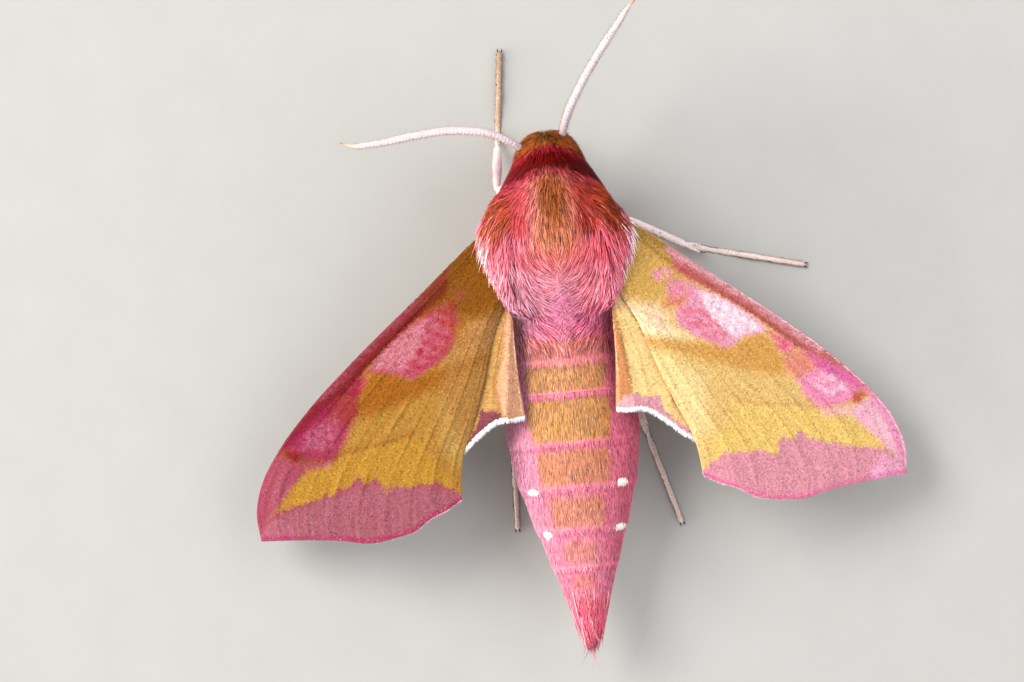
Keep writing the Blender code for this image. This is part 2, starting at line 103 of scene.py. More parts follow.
def smooth_rows(rows: Array, at: Array) -> Array:
    """Values between a table's rows, by a cubic whose slopes are those of the rows around it.

    Args:
        rows: The table. Its first column is where each row stands.
        at: Places to read it at, held inside its range.

    Returns:
        One row of the other columns for each place.
    """
    rows = rows[np.argsort(rows[:, 0])]
    places, values = rows[:, 0], rows[:, 1:]
    slopes = np.gradient(values, places, axis=0)
    at = np.clip(at, places[0], places[-1])
    i = np.clip(np.searchsorted(places, at) - 1, 0, len(places) - 2)
    step = (places[i + 1] - places[i])[..., None]
    t = (at - places[i])[..., None] / step
    return (
        values[i] * (1 + 2 * t) * (1 - t) ** 2
        + values[i + 1] * t * t * (3 - 2 * t)
        + slopes[i] * step * t * (1 - t) ** 2
        - slopes[i + 1] * step * t * t * (1 - t)
    )


def along(points: Array, share: Array) -> Array:
    """Points on a cubic through the given ones, by chord length.

    Args:
        points: The points that it goes through.
        share: Shares of the way along it.

    Returns:
        One point for each share.
    """
    steps = np.linalg.norm(np.diff(points, axis=0), axis=1)
    reach = np.concatenate([[0.0], np.cumsum(steps)])
    return smooth_rows(np.column_stack([reach, points]), np.asarray(share) * reach[-1])


def ripple(points: Array, size: float, seed: int) -> Array:
    """Smooth noise from about -1 to 1: the mean of sine waves in seeded directions.

    Args:
        points: Where it is read, with any number of coordinates.
        size: About how long its waves are, in the points' unit.
        seed: Which noise it is.

    Returns:
        One value for each point.
    """
    waves, slowest, fastest, level = 9, 0.6, 1.7, 4.0
    rng = np.random.default_rng(seed)
    ways = unit(rng.normal(size=(waves, points.shape[-1])))
    ways = ways * rng.uniform(slowest, fastest, (waves, 1)) * 2 * math.pi / size
    return np.sin(points @ ways.T + rng.uniform(0, 2 * math.pi, waves)).sum(-1) / level


def reach_inside(places: Array, outline: Array, stroke: float | None) -> Array:
    """How far places lie inside an outline, or inside a stroke along it.

    The distance is the least one to the outline's edges, and a place is inside where a ray
    to one side crosses an odd number of them.

    Args:
        places: Their x and y, in mm.
        outline: The outline's corners.
        stroke: Half the width of a line along it, or None where it is filled.

    Returns:
        The distance in mm, below 0 outside.
    """
    starts, ends = outline, np.roll(outline, -1, axis=0)
    if stroke is not None:
        starts, ends = starts[:-1], ends[:-1]
    edge, away = ends - starts, places[:, None] - starts
    share = np.clip((away * edge).sum(-1) / (edge**2).sum(-1), 0, 1)
    distance = np.linalg.norm(away - edge * share[..., None], axis=-1).min(1)
    if stroke is not None:
        return stroke - distance
    x, y = places[:, :1], places[:, 1:]
    level = np.where(edge[:, 1] == 0, 1e-9, edge[:, 1])
    passed = x < starts[:, 0] + edge[:, 0] * (y - starts[:, 1]) / level
    crosses = ((starts[:, 1] > y) != (ends[:, 1] > y)) & passed
    return np.where(crosses.sum(1) % 2 == 1, distance, -distance)


# How wide a tooth of a toothed border is, and how far the teeth stray and over what length, in mm.
TOOTH, TOOTH_STRAY, TOOTH_RUN = 0.43, 0.35, 1.3
# How large the flecks in a marking are, in mm, and the noise levels between which one fades.
FLECK, FLECK_RANGE = 0.55, (-0.25, 0.45)
# How far to either side of the middle a marking of one side fades out, in mm.
MIDDLE_FADE = 0.35


@dataclass(frozen=True)
class Marking:
    """A patch of another colour as seen from above, by the outline of its right half or right wing.

    Attributes:
        outline: Its corners, as distance from the middle and y, in mm.
        colour: Its sRGB colour.
        soft: How far its edge blends, in mm.
        strength: How much of what lies under it it covers.
        stroke: Half the width of a line along the outline, or None to fill it.
        fleck: How much of it is broken up by flecks of what lies under it.
        teeth: Height of the small teeth along its border, in mm.
        only: The one side that has it, or None for both.
    """

    outline: Points
    colour: str
    soft: float = 0.2
    strength: float = 1.0
    stroke: float | None = None
    fleck: float = 0.0
    teeth: float = 0.0
    only: Side | None = None

    def over(self, tint: Array, places: Array) -> Array:
        """Paints this marking over a tint.

        Args:
            tint: The colour of each place.
            places: Their x and y, in mm.

        Returns:
            The new colour of each place.
        """
        spots = np.column_stack([np.abs(places[:, 0]), places[:, 1]])
        if self.teeth:
            stray = TOOTH_STRAY * ripple(spots[:, :1], TOOTH_RUN, 4)
            wave = np.abs((spots[:, 0] / TOOTH + stray) % 1.0 - 0.5) * 2
            spots[:, 1] += self.teeth * (wave - 0.5)
        inside = reach_inside(spots, np.array(self.outline), self.stroke)
        share = self.strength * ease(-self.soft, self.soft, inside)
        if self.fleck:
            share = share * (1 - self.fleck * ease(*FLECK_RANGE, ripple(places, FLECK, len(self.outline))))
        if self.only:
            share = share * ease(-MIDDLE_FADE, MIDDLE_FADE, self.only.value * places[:, 0])
        return tint + (linear(self.colour) - tint) * share[:, None]


def patch(outline: str, *sizes: str | float, **more: float | Side) -> Marking:
    """A marking whose outline is written as text."""
    return Marking(corners(outline), *sizes, **more)


def deepened(tint: Array, power: float | Array, gain: float | Array) -> Array:
    """A tint made more saturated by a power above 1, then dimmed or lit by a gain."""
    return np.clip(tint, 0, 1) ** power * gain


def painted(ground: str, markings: tuple[Marking, ...], places: Array) -> Array:
    """Markings painted over a ground colour in their order.

    Args:
        ground: The ground's sRGB colour.
        markings: What is painted on it.
        places: Where the colour is asked for, as x and y in mm.

    Returns:
        The colour of each place.
    """
    tint = np.broadcast_to(linear(ground), (len(places), 3))
    for marking in markings:
        tint = marking.over(tint, places)
    return tint


# Meshes


@dataclass
class Shell:
    """Points in mm, faces of three or four corners, and each point's tint.

    Attributes:
        points: Where the points are.
        faces: Arrays of faces with the same number of corners.
        tint: Each point's linear colour.
        spot: Each point's place on the bake map.
        facing: Each point's own normal, where the faces' mean would shade a thin blade wrongly.
    """

    points: Array
    faces: list[Array]
    tint: Array
    spot: Array | None = None
    facing: Array | None = None


def joined(shells: list[Shell]) -> Shell:
    """Makes one shell of several.

    Args:
        shells: Shells that all have, or all lack, bake spots and own normals.

    Returns:
        Their points and faces, one after the other.
    """
    starts = np.cumsum([0] + [len(shell.points) for shell in shells])
    faces = [face + start for shell, start in zip(shells, starts) for face in shell.faces]
    parts = [[getattr(shell, part) for shell in shells] for part in ("points", "tint", "spot", "facing")]
    points, tint, spot, facing = (None if part[0] is None else np.concatenate(part) for part in parts)
    return Shell(points, faces, tint, spot, facing)


def turned_out(points: Array, faces: list[Array]) -> list[Array]:
    """Turns a closed shell's faces round if the volume that they enclose comes out negative.

    Args:
        points: The shell's points.
        faces: Its faces.

    Returns:
        The faces, pointing outwards.
    """
    volume = sum(
        np.einsum("ij,ij->", points[f[:, 0]], np.cross(points[f[:, i]], points[f[:, i + 1]]))
        for f in faces
        for i in range(1, f.shape[1] - 1)
    )
    return faces if volume > 0 else [f[:, ::-1] for f in faces]


def grid_faces(rows: int, columns: int, wrap: bool) -> Array:
    """Four-cornered faces between the neighbours of a grid.

    Args:
        rows: How many rows of points it has.
        columns: How many points a row has.
        wrap: Whether the last column meets the first.

    Returns:
        The faces, as indices of points.
    """
    across = columns if wrap else columns - 1
    row, column = np.meshgrid(np.arange(rows - 1), np.arange(across), indexing="ij")
    after = (column + 1) % columns
    near, far = row * columns, (row + 1) * columns
    return np.stack((near + column, near + after, far + after, far + column), axis=-1).reshape(-1, 4)


def share_grid(rows: int, columns: int, closed: bool) -> tuple[Array, Array]:
    """The shares a and b of a grid's points, row by row.

    Args:
        rows: How many values of a it has, from 0 to 1.
        columns: How many values of b it has.
        closed: Whether b runs round and so stops short of 1.

    Returns:
        Each point's a and b.
    """
    across = np.arange(columns) / columns if closed else np.linspace(0, 1, columns)
    a, b = np.meshgrid(np.linspace(0, 1, rows), across, indexing="ij")
    return a.ravel(), b.ravel()


def make_piece(
    name: str, shell: Shell, material: bpy.types.Material, replaces: tuple[str, ...] = ()
) -> None:
    """Writes a shell into an object at the origin that rides on the moth.

    Args:
        name: The piece's name.
        shell: Its mesh, in mm in the moth's frame.
        material: Its finish.
        replaces: The solids that it stands for.
    """
    mesh = bpy.data.meshes.new(name)
    sizes = np.concatenate([np.full(len(f), f.shape[1]) for f in shell.faces])
    corner = np.concatenate([f.ravel() for f in shell.faces])
    mesh.vertices.add(len(shell.points))
    mesh.vertices.foreach_set("co", ((shell.points + (0, ROOT_LINE_Y, 0)) * MM).astype(np.float32).ravel())
    mesh.loops.add(len(corner))
    mesh.loops.foreach_set("vertex_index", corner.astype(np.int32))
    mesh.polygons.add(len(sizes))
    mesh.polygons.foreach_set("loop_start", (np.cumsum(sizes) - sizes).astype(np.int32))
    mesh.polygons.foreach_set("use_smooth", np.ones(len(sizes), bool))
    mesh.update(calc_edges=True)
    colours = mesh.color_attributes.new(MARKINGS, "FLOAT_COLOR", "POINT")
    rgba = np.column_stack([np.clip(shell.tint, 0, 1), np.ones(len(shell.tint))])
    colours.data.foreach_set("color", rgba.astype(np.float32).ravel())
    if shell.spot is not None:
        bake = mesh.uv_layers.new(name=BAKE_MAP)
        bake.data.foreach_set("uv", shell.spot[corner].astype(np.float32).ravel())
    if shell.facing is not None:
        mesh.normals_split_custom_set_from_vertices(shell.facing.astype(np.float32))
    mesh.materials.append(material)
    piece = bpy.data.objects.new(name, mesh)
    bpy.context.scene.collection.objects.link(piece)
    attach(piece, "root")
    if replaces:
        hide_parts(*replaces)
    log.info("%s: %d triangles", name, int((sizes - 2).sum()))


# How much a blade's own normals lean out for its crest, and the most that they may.
LEAN, MOST_LEAN = 1.4, 0.9


def blades(path: Array, normal: Array, width: Array, deep: Array, tint: Array, spot: Array) -> Shell:
    """Hairs or scales as closed blades of three-sided section that end in a point.

    Each ring has a left and a right corner half a width to either side of the path, and a crest
    above it. Faces join each ring to the next, the first ring is closed, and the last meets the
    tip. Its own normals lean out at the sides by as much as the crest is high.

    Args:
        path: Each blade's rings and tip, as (blades, rings + 1, 3).
        normal: Which way is up at each ring, as (blades, rings, 3).
        width: Width at each ring.
        deep: Height of the crest at each ring.
        tint: Colour at each ring and the tip, as (blades, rings + 1, 3).
        spot: Each blade's root on the bake map.

    Returns:
        All the blades as one shell.
    """
    count, rings = path.shape[0], path.shape[1] - 1
    ahead = unit(np.diff(path, axis=1))
    aside = unit(np.cross(ahead, normal)) * width[..., None] / 2
    middle = path[:, :-1]
    ring = np.stack([middle - aside, middle + aside, middle + normal * deep[..., None]], axis=2)
    points = np.concatenate([ring.reshape(count, 3 * rings, 3), path[:, -1:]], axis=1)
    tints = np.concatenate([np.repeat(tint[:, :-1], 3, axis=1), tint[:, -1:]], axis=1)
    lean = unit(aside) * np.minimum(LEAN * deep / np.maximum(width, 1e-6), MOST_LEAN)[..., None]
    facing = np.stack([unit(normal - lean), unit(normal + lean), normal + 0 * lean], axis=2)
    facing = np.concatenate([facing.reshape(count, 3 * rings, 3), normal[:, -1:]], axis=1)

    corner = np.arange(3)
    after = (corner + 1) % 3
    faces = [np.array([[0, 1, 2]])]
    for r in range(rings - 1):
        near, far = 3 * r, 3 * r + 3
        faces.append(np.stack([near + corner, far + corner, near + after], axis=-1))
        faces.append(np.stack([near + after, far + corner, far + after], axis=-1))
    last = 3 * (rings - 1)
    faces.append(np.stack([last + corner, np.full(3, 3 * rings), last + after], axis=-1))
    size = 3 * rings + 1
    every = (np.concatenate(faces)[None] + np.arange(count)[:, None, None] * size).reshape(-1, 3)

    across = np.append(np.tile((-1.0, 1.0, 0.0), rings), 0.0)
    length = np.append(np.repeat(np.linspace(-1, 1, rings + 1)[:-1], 3), 1.0)
    spots = spot[:, None] + PATCH * np.stack([across, length], axis=-1)
    points, tints, facing = (part.reshape(-1, 3) for part in (points, tints, facing))
    return Shell(points, [every], tints, spots.reshape(-1, 2), facing)


class Growth(Enum):
    """A hair is widest near its root; a scale grows from a point to a broad free end."""

    HAIR = "hair"
    SCALE = "scale"


@dataclass(frozen=True)
class Coat:
    """How hairs or scales grow on a form, in mm.

    Attributes:
        pitch: Distance between neighbouring roots.
        length: How long one is.
        width: How wide it is.
        lift: How far the highest tips stand off the skin.
        rings: Rings of the blade, so 1 for a scale, 2 for a short hair and 3 for one that bends.
        growth: Whether they are hairs or scales.
        wander: How far its heading strays, in radians.
        pale: Share of hairs that are bleached almost white.
        dark: Share of hairs that are dark.
        shade: How much lighter and darker single ones are.
        mix: How far a hair may take its colour from, so that markings mingle at their edges.
        ridge: Height of its crest as a share of its width.
        depth: How much deeper and darker in colour it is at its root than at its tip, as painted shade deep
            in the coat.
    """

    pitch: float
    length: float
    width: float
    lift: float
    rings: int = 3
    growth: Growth = Growth.HAIR
    wander: float = 0.07
    pale: float = 0.05
    dark: float = 0.05
    shade: float = 0.2
    mix: float = 0.1
    ridge: float = 0.35
    depth: float = 0.3


WHOLE: Span = ((0.0, 1.0), (0.0, 1.0))
WHOLE_MAP: Tile = (0.0, 0.0, 1.0, 1.0)
# What bleached hairs turn towards and how far, and how dark the dark ones are.
PALE, BLEACH = linear("#F7DDE0"), 0.4
DARKNESS = {Growth.HAIR: 0.35, Growth.SCALE: 0.7}
# How long the waves of a coat's lie are, and how deep roots are sunk, in mm.
LIE_WAVE, SUNK = 1.1, 0.03
# A blade's width at each of its rings, as shares of the coat's.
RING_WIDTHS = {1: (1.0,), 2: (0.7, 1.0), 3: (0.75, 1.0, 0.72)}


class Form:
    """A surface of two shares: a runs back along it, the way the coat lies, and b round or across it."""

    def at(self, a: Array, b: Array) -> Array:
        """The surface's points, in mm."""
        raise NotImplementedError

    def tint(self, points: Array, a: Array, b: Array) -> Array:
        """The colour of those points."""
        raise NotImplementedError

    def heading(self, points: Array, a: Array, b: Array) -> Array:
        """The angle of the coat's lie from the way that a grows towards the way that b grows."""
        return np.zeros(a.shape)

    def outward(self, points: Array, a: Array, b: Array) -> Array:
        """A vector at each point that leaves the form: away from the point straight across it."""
        return points - self.at(a, b + 0.5)

    def frame(self, a: Array, b: Array) -> tuple[Array, Array, Array, Array]:
        """Where the surface is and how it runs, by small steps of either share.

        Args:
            a: Shares along it.
            b: Shares round or across it.

        Returns:
            Points, outward normals, and how far it runs for a whole share of a and of b.
        """
        step = 1e-3
        before, behind = np.clip(a - step, 0, 1), np.clip(a + step, 0, 1)
        points = self.at(a, b)
        back = (self.at(behind, b) - self.at(before, b)) / (behind - before)[..., None]
        side = (self.at(a, b + step) - self.at(a, b - step)) / (2 * step)
        normal = unit(np.cross(back, side))
        facing = np.sign((normal * self.outward(points, a, b)).sum(-1, keepdims=True))
        return points, normal * facing, back, side

    def skin(self, rows: int, columns: int) -> Shell:
        """A closed grid over the whole form, with a point in the middle of either end.

        Args:
            rows: How many rings of points it has.
            columns: How many points a ring has.

        Returns:
            The skin.
        """
        a, b = share_grid(rows, columns, closed=True)
        grid = self.at(a, b)
        ends = np.stack([grid[:columns].mean(0), grid[-columns:].mean(0)])
        points = np.concatenate([grid, ends])
        first, last = len(grid), len(grid) + 1
        ring, after = np.arange(columns), np.roll(np.arange(columns), -1)
        start = (rows - 1) * columns
        caps = [
            np.column_stack([np.full(columns, first), after, ring]),
            np.column_stack([np.full(columns, last), start + ring, start + after]),
        ]
        faces = turned_out(points, [grid_faces(rows, columns, True), *caps])
        tint = self.tint(points, np.append(a, (0, 1)), np.append(b, (0, 0)))
        return Shell(points, faces, tint)

    def spread(self, pitch: float, span: Span, rng: Rng) -> tuple[Array, Array]:
        """Roots in rows along a, each with as many places as its length asks, all shaken.

        Args:
            pitch: How far apart they are, in mm.
            span: The shares of a and b that they cover.
            rng: Random draws.

        Returns:
            Each root's a and b.
        """
        (a0, a1), (b0, b1) = span
        fine_a, fine_b = np.linspace(a0, a1, 200), np.linspace(b0, b1, 49)
        grid = self.at(*np.meshgrid(fine_a, fine_b, indexing="ij"))
        gaps = np.linalg.norm(np.diff(grid, axis=0), axis=-1).max(1)
        reach = np.concatenate([[0.0], np.cumsum(gaps)])
        count = max(2, round(reach[-1] / pitch))
        row_a = np.interp((np.arange(count) + 0.5) / count * reach[-1], reach, fine_a)
        row_gap = np.interp(row_a, fine_a, np.gradient(fine_a, reach)) * pitch
        girth = np.interp(row_a, fine_a, np.linalg.norm(np.diff(grid, axis=1), axis=-1).sum(1))
        each = np.maximum(1, np.round(girth / pitch)).astype(int)
        row = np.repeat(np.arange(count), each)
        place = np.arange(len(row)) - np.repeat(np.cumsum(each) - each, each)
        shaken = (place + rng.random(len(row))) / each[row]
        a = row_a[row] + (rng.random(len(row)) - 0.5) * 1.4 * row_gap[row]
        return np.clip(a, a0, a1), b0 + (b1 - b0) * shaken

    def grow(
        self,
        coat: Coat,
        rng: Rng,
        span: Span = WHOLE,
        tile: Tile = WHOLE_MAP,
        keep: Callable[[Array], Array] | None = None,
    ) -> Shell:
        """A coat over part of the form, each hair walked along the surface so that it follows its curve.

        A hair's path is the form at shares that move on by its length times the lie's direction, raised
        off it by the lift times 1 - (1 - t)^2, and its root is sunk a little.

        Args:
            coat: How it grows.
            rng: Random draws.
            span: The shares of a and b that it covers.
            tile: Its part of the bake map.
            keep: Says which hairs stay, from their paths.

        Returns:
            The coat.
        """
        a, b = self.spread(coat.pitch, span, rng)
        points, _, back, side = self.frame(a, b)
        count = len(a)
        stray = ripple(points, LIE_WAVE, 5) * coat.wander * 1.3 + rng.normal(0, coat.wander * 0.7, count)
        heading = self.heading(points, a, b) + stray
        curl = rng.normal(0, coat.wander * 0.8, count)
        length = coat.length * rng.uniform(0.7, 1.15, count)
        t = np.linspace(0, 1, coat.rings + 1)
        turn = heading[:, None] + curl[:, None] * t
        run = length[:, None] * t
        long_a = np.maximum(np.linalg.norm(back, axis=-1), 1e-6)[:, None]
        long_b = np.maximum(np.linalg.norm(side, axis=-1), 0.8)[:, None]
        path_a = a[:, None] + run * np.cos(turn) / long_a
        path_b = b[:, None] + run * np.sin(turn) / long_b
        ground, normal, *_ = self.frame(np.clip(path_a, 0.001, 0.999), path_b)
        rise = coat.lift * rng.uniform(0.25, 1.0, count)[:, None] * (1 - (1 - t) ** 2) - SUNK * (1 - t)
        path = ground + normal * rise[..., None]

        half = rng.uniform(0.35, 0.7, (count, 1))
        near_a, near_b = (
            root[:, None] + half * (way[:, -1:] - root[:, None]) + rng.normal(0, coat.mix, (count, 1)) / long
            for root, way, long in ((a, path_a, long_a), (b, path_b, long_b))
        )
        near_a, near_b = np.clip(near_a[:, 0], 0.0, 1.0), near_b[:, 0]
        tint = self.tint(self.at(near_a, near_b), near_a, near_b)
        tint = tint * rng.normal(1.0, coat.shade, (count, 1)).clip(0.4, 1.8)
        chance = rng.random((count, 1))
        tint = tint + (PALE - tint) * BLEACH * (chance < coat.pale)
        tint = tint * np.where(chance > 1 - coat.dark, DARKNESS[coat.growth], 1.0)

        spot = self.bake_spots(a, b, span, tile)
        if keep is not None:
            kept = keep(path)
            path, normal, tint, spot = path[kept], normal[kept], tint[kept], spot[kept]
            count = int(kept.sum())
        width = coat.width * rng.uniform(0.75, 1.25, (count, 1)) * np.array(RING_WIDTHS[coat.rings])
        share = t[None, :, None]
        # Painted shade: each blade is deeper and darker towards its root, and a little lighter at its tip.
        gain = 1.0 - 0.3 * coat.depth + 0.4 * coat.depth * share
        shades = deepened(tint[:, None], 1.0 + coat.depth * (1 - share), gain)
        if coat.growth is Growth.SCALE:
            path, normal, shades = path[:, ::-1], normal[:, ::-1], shades[:, ::-1]
        return blades(path, normal[:, :-1], width, width * coat.ridge, shades, spot)

    def bake_spots(self, a: Array, b: Array, span: Span, tile: Tile) -> Array:
        """Places on the bake map, whose two directions are the shares themselves.

        Args:
            a: Shares along the form.
            b: Shares round or across it.
            span: The shares of a and b that the tile shows.
            tile: Its left, lower, right and upper edge.

        Returns:
            Each root's place, a patch's half clear of the map's edges.
        """
        (a0, a1), (b0, b1) = span
        u0, v0, u1, v1 = tile
        u = u0 + (u1 - u0) * (b - b0) / (b1 - b0)
        v = v0 + (v1 - v0) * (a - a0) / (a1 - a0)
        return PATCH + np.stack([u, v], axis=-1) * (1 - 2 * PATCH)


def strands(
    root: Array, aim: Array, up: Array, length: Array, width: Array, sag: Array, tint: Array, spot: Array
) -> Shell:
    """Free hairs of three rings: each leaves its root along aim and bends up by sag times t squared.

    Args:
        root: Where each starts.
        aim: Which way it leaves.
        up: Which way it bends, and its crest points.
        length: How long it is, in mm.
        width: How wide it is.
        sag: How far it bends, so below 0 for down.
        tint: Its colour.
        spot: Its place on the bake map.

    Returns:
        All the hairs as one shell.
    """
    t = np.linspace(0, 1, 4)[None, :, None]
    bend = up[:, None] * (sag[:, None, None] * t * t)
    path = root[:, None] + aim[:, None] * length[:, None, None] * t + bend
    rings = width[:, None] * np.array((0.8, 1.0, 0.7))
    shades = tint[:, None] * np.linspace(0.9, 1.1, 4)[None, :, None]
    return blades(path, np.repeat(up[:, None], 3, axis=1), rings, rings * 0.5, shades, spot)


# Finishes


def add_node(
    tree: bpy.types.NodeTree, kind: str, links: dict | None = None, **settings: object
) -> bpy.types.Node:
    """Adds a node to a material.

    Args:
        tree: The material's nodes.
        kind: The node's kind, without the words that all kinds start with.
        links: Its inputs, as values or as sockets to link from.
        settings: Its own settings.

    Returns:
        The node.
    """
    node = tree.nodes.new("ShaderNode" + kind)
    for key, value in settings.items():
        setattr(node, key, value)
    for key, value in (links or {}).items():
        if isinstance(value, bpy.types.NodeSocket):
            tree.links.new(value, node.inputs[key])
        else:
            node.inputs[key].default_value = value
    return node


def plain_material(name: str, inputs: dict[str, float]) -> tuple[bpy.types.Material, bpy.types.Node]:
    """Makes a material with values set on its shader.

    Args:
        name: The material's name.
        inputs: The shader's inputs by name.

    Returns:
        The material and its shader.
    """
    made = bpy.data.materials.new(name)
    made.use_nodes = True
    shader = made.node_tree.nodes["Principled BSDF"]
    for key, value in inputs.items():
        shader.inputs[key].default_value = value
    return made, shader


def shaded_markings(tree: bpy.types.NodeTree, shade: bpy.types.Node) -> bpy.types.Node:
    """A node that gives the markings' colour, multiplied by what a shade node gives."""
    markings = add_node(tree, "Attribute", attribute_name=MARKINGS).outputs["Color"]
    return add_node(tree, "VectorMath", {0: markings, 1: shade.outputs["Result"]}, operation="MULTIPLY")


@dataclass(frozen=True)
class Finish:
    """Scaled or haired cuticle, whose colour is the markings' with a finer mottle over them.

    Attributes:
        name: What it is.
        rough: How dull its highlights are.
        sheen: How much the fine fuzz lights up at a glancing angle.
        specular: Strength of the plain highlight.
        grain: Size of the mottle and of the bump, in mm.
        stretch: How much longer than wide a grain is along the body.
        mottle: How much the grain lightens and darkens the colour.
        bump: Height of the bump, in mm.
        gloss: Weight of a clear hard layer over it.
    """

    name: str
    rough: float
    sheen: float
    specular: float
    grain: float
    stretch: float = 1.0
    mottle: float = 0.15
    bump: float = 0.02
    gloss: float = 0.0

    def material(self) -> bpy.types.Material:
        """The finish as nodes: markings times a mottle, and a bump of the same grain.

        Returns:
            The material.
        """
        made, shader = plain_material(self.name, {
            "Roughness": self.rough, "Sheen Weight": self.sheen, "Sheen Roughness": 0.5,
            "Specular IOR Level": self.specular, "Coat Weight": self.gloss, "Coat Roughness": 0.12,
        })
        tree = made.node_tree
        place = add_node(tree, "TexCoord").outputs["Object"]
        sized = add_node(tree, "Mapping", {"Vector": place, "Scale": (1.0, 1 / self.stretch, 1.0)})
        grain = {"Vector": sized.outputs["Vector"], "Scale": 1 / (self.grain * MM)}
        noise = add_node(tree, "TexNoise", {**grain, "Detail": 3.0, "Roughness": 0.6})
        shade = add_node(tree, "MapRange", {
            "Value": noise.outputs["Fac"], "From Min": 0.3, "From Max": 0.7,
            "To Min": 1 - self.mottle, "To Max": 1 + self.mottle,
        })
        mixed = shaded_markings(tree, shade)
        for key in ("Base Color", "Specular Tint", "Sheen Tint"):
            tree.links.new(mixed.outputs["Vector"], shader.inputs[key])
        if self.bump:
            raised = {"Height": noise.outputs["Fac"], "Distance": self.bump * MM, "Strength": 1.0}
            tree.links.new(add_node(tree, "Bump", raised).outputs["Normal"], shader.inputs["Normal"])
        return made


@dataclass(frozen=True)
class EyeFinish:
    """A compound eye: dark glassy chitin, whose facets are drawn at twice their real width, to show."""

    name: str = "compound_eye"
    facet: float = 0.06
    facet_height: float = 0.006
    cloud: float = 0.7
    darkest: float = 0.6
    palest: float = 1.6

    def material(self) -> bpy.types.Material:
        """The finish as nodes: markings times clouds, and a bump of facets.

        Returns:
            The material.
        """
        made, shader = plain_material(
            self.name, {"Roughness": 0.22, "Coat Weight": 0.6, "Coat Roughness": 0.06, "IOR": 1.55}
        )
        tree = made.node_tree
        place = add_node(tree, "TexCoord").outputs["Object"]
        cells = {"Vector": place, "Scale": 1 / (self.facet * MM), "Randomness": 0.35}
        facets = add_node(tree, "TexVoronoi", cells)
        clouds = add_node(tree, "TexNoise", {"Vector": place, "Scale": 1 / (self.cloud * MM), "Detail": 2.0})
        shade = add_node(tree, "MapRange", {
            "Value": clouds.outputs["Fac"], "From Min": 0.3, "From Max": 0.7,
            "To Min": self.darkest, "To Max": self.palest,
        })
        mixed = shaded_markings(tree, shade)
        tree.links.new(mixed.outputs["Vector"], shader.inputs["Base Color"])
        raised = {"Height": facets.outputs["Distance"], "Distance": self.facet_height * MM, "Strength": 0.6}
        bump = add_node(tree, "Bump", raised, invert=True)
        tree.links.new(bump.outputs["Normal"], shader.inputs["Normal"])
        return made


# Moth fur is fine scales drawn out to hairs: dull, with a soft glint along each.
FUR = Finish("scale_hair", 0.45, 0.1, 0.5, grain=0.30, mottle=0.10, bump=0.0)
# The skin under the fur is cuticle with short scales, which shows as a streaked, dull ground.
FUR_SKIN = Finish("haired_cuticle", 0.85, 0.15, 0.2, grain=0.07, stretch=4.0, mottle=0.3, bump=0.04)
# Wing membrane is thin and dull, with its scale rows showing as a fine grain.
MEMBRANE = Finish("wing_membrane", 0.75, 0.1, 0.25, grain=0.09, stretch=1.6, mottle=0.18, bump=0.02)
# Wing scales are flat ridged plates of chitin: powdery, with a faint silky glint.
WING_SCALES = Finish("wing_scales", 0.55, 0.2, 0.3, grain=0.12, mottle=0.08, bump=0.0)
# Leg and antenna scales are white and silky over brown cuticle.
PALE_SCALES = Finish("pale_scales", 0.5, 0.2, 0.35, grain=0.10, mottle=0.12, bump=0.01)
# Bare chitin, on the tongue, is brown, hard and shiny.
CHITIN = Finish("bare_chitin", 0.25, 0.0, 0.5, grain=0.06, mottle=0.2, bump=0.004, gloss=0.4)


# Forms


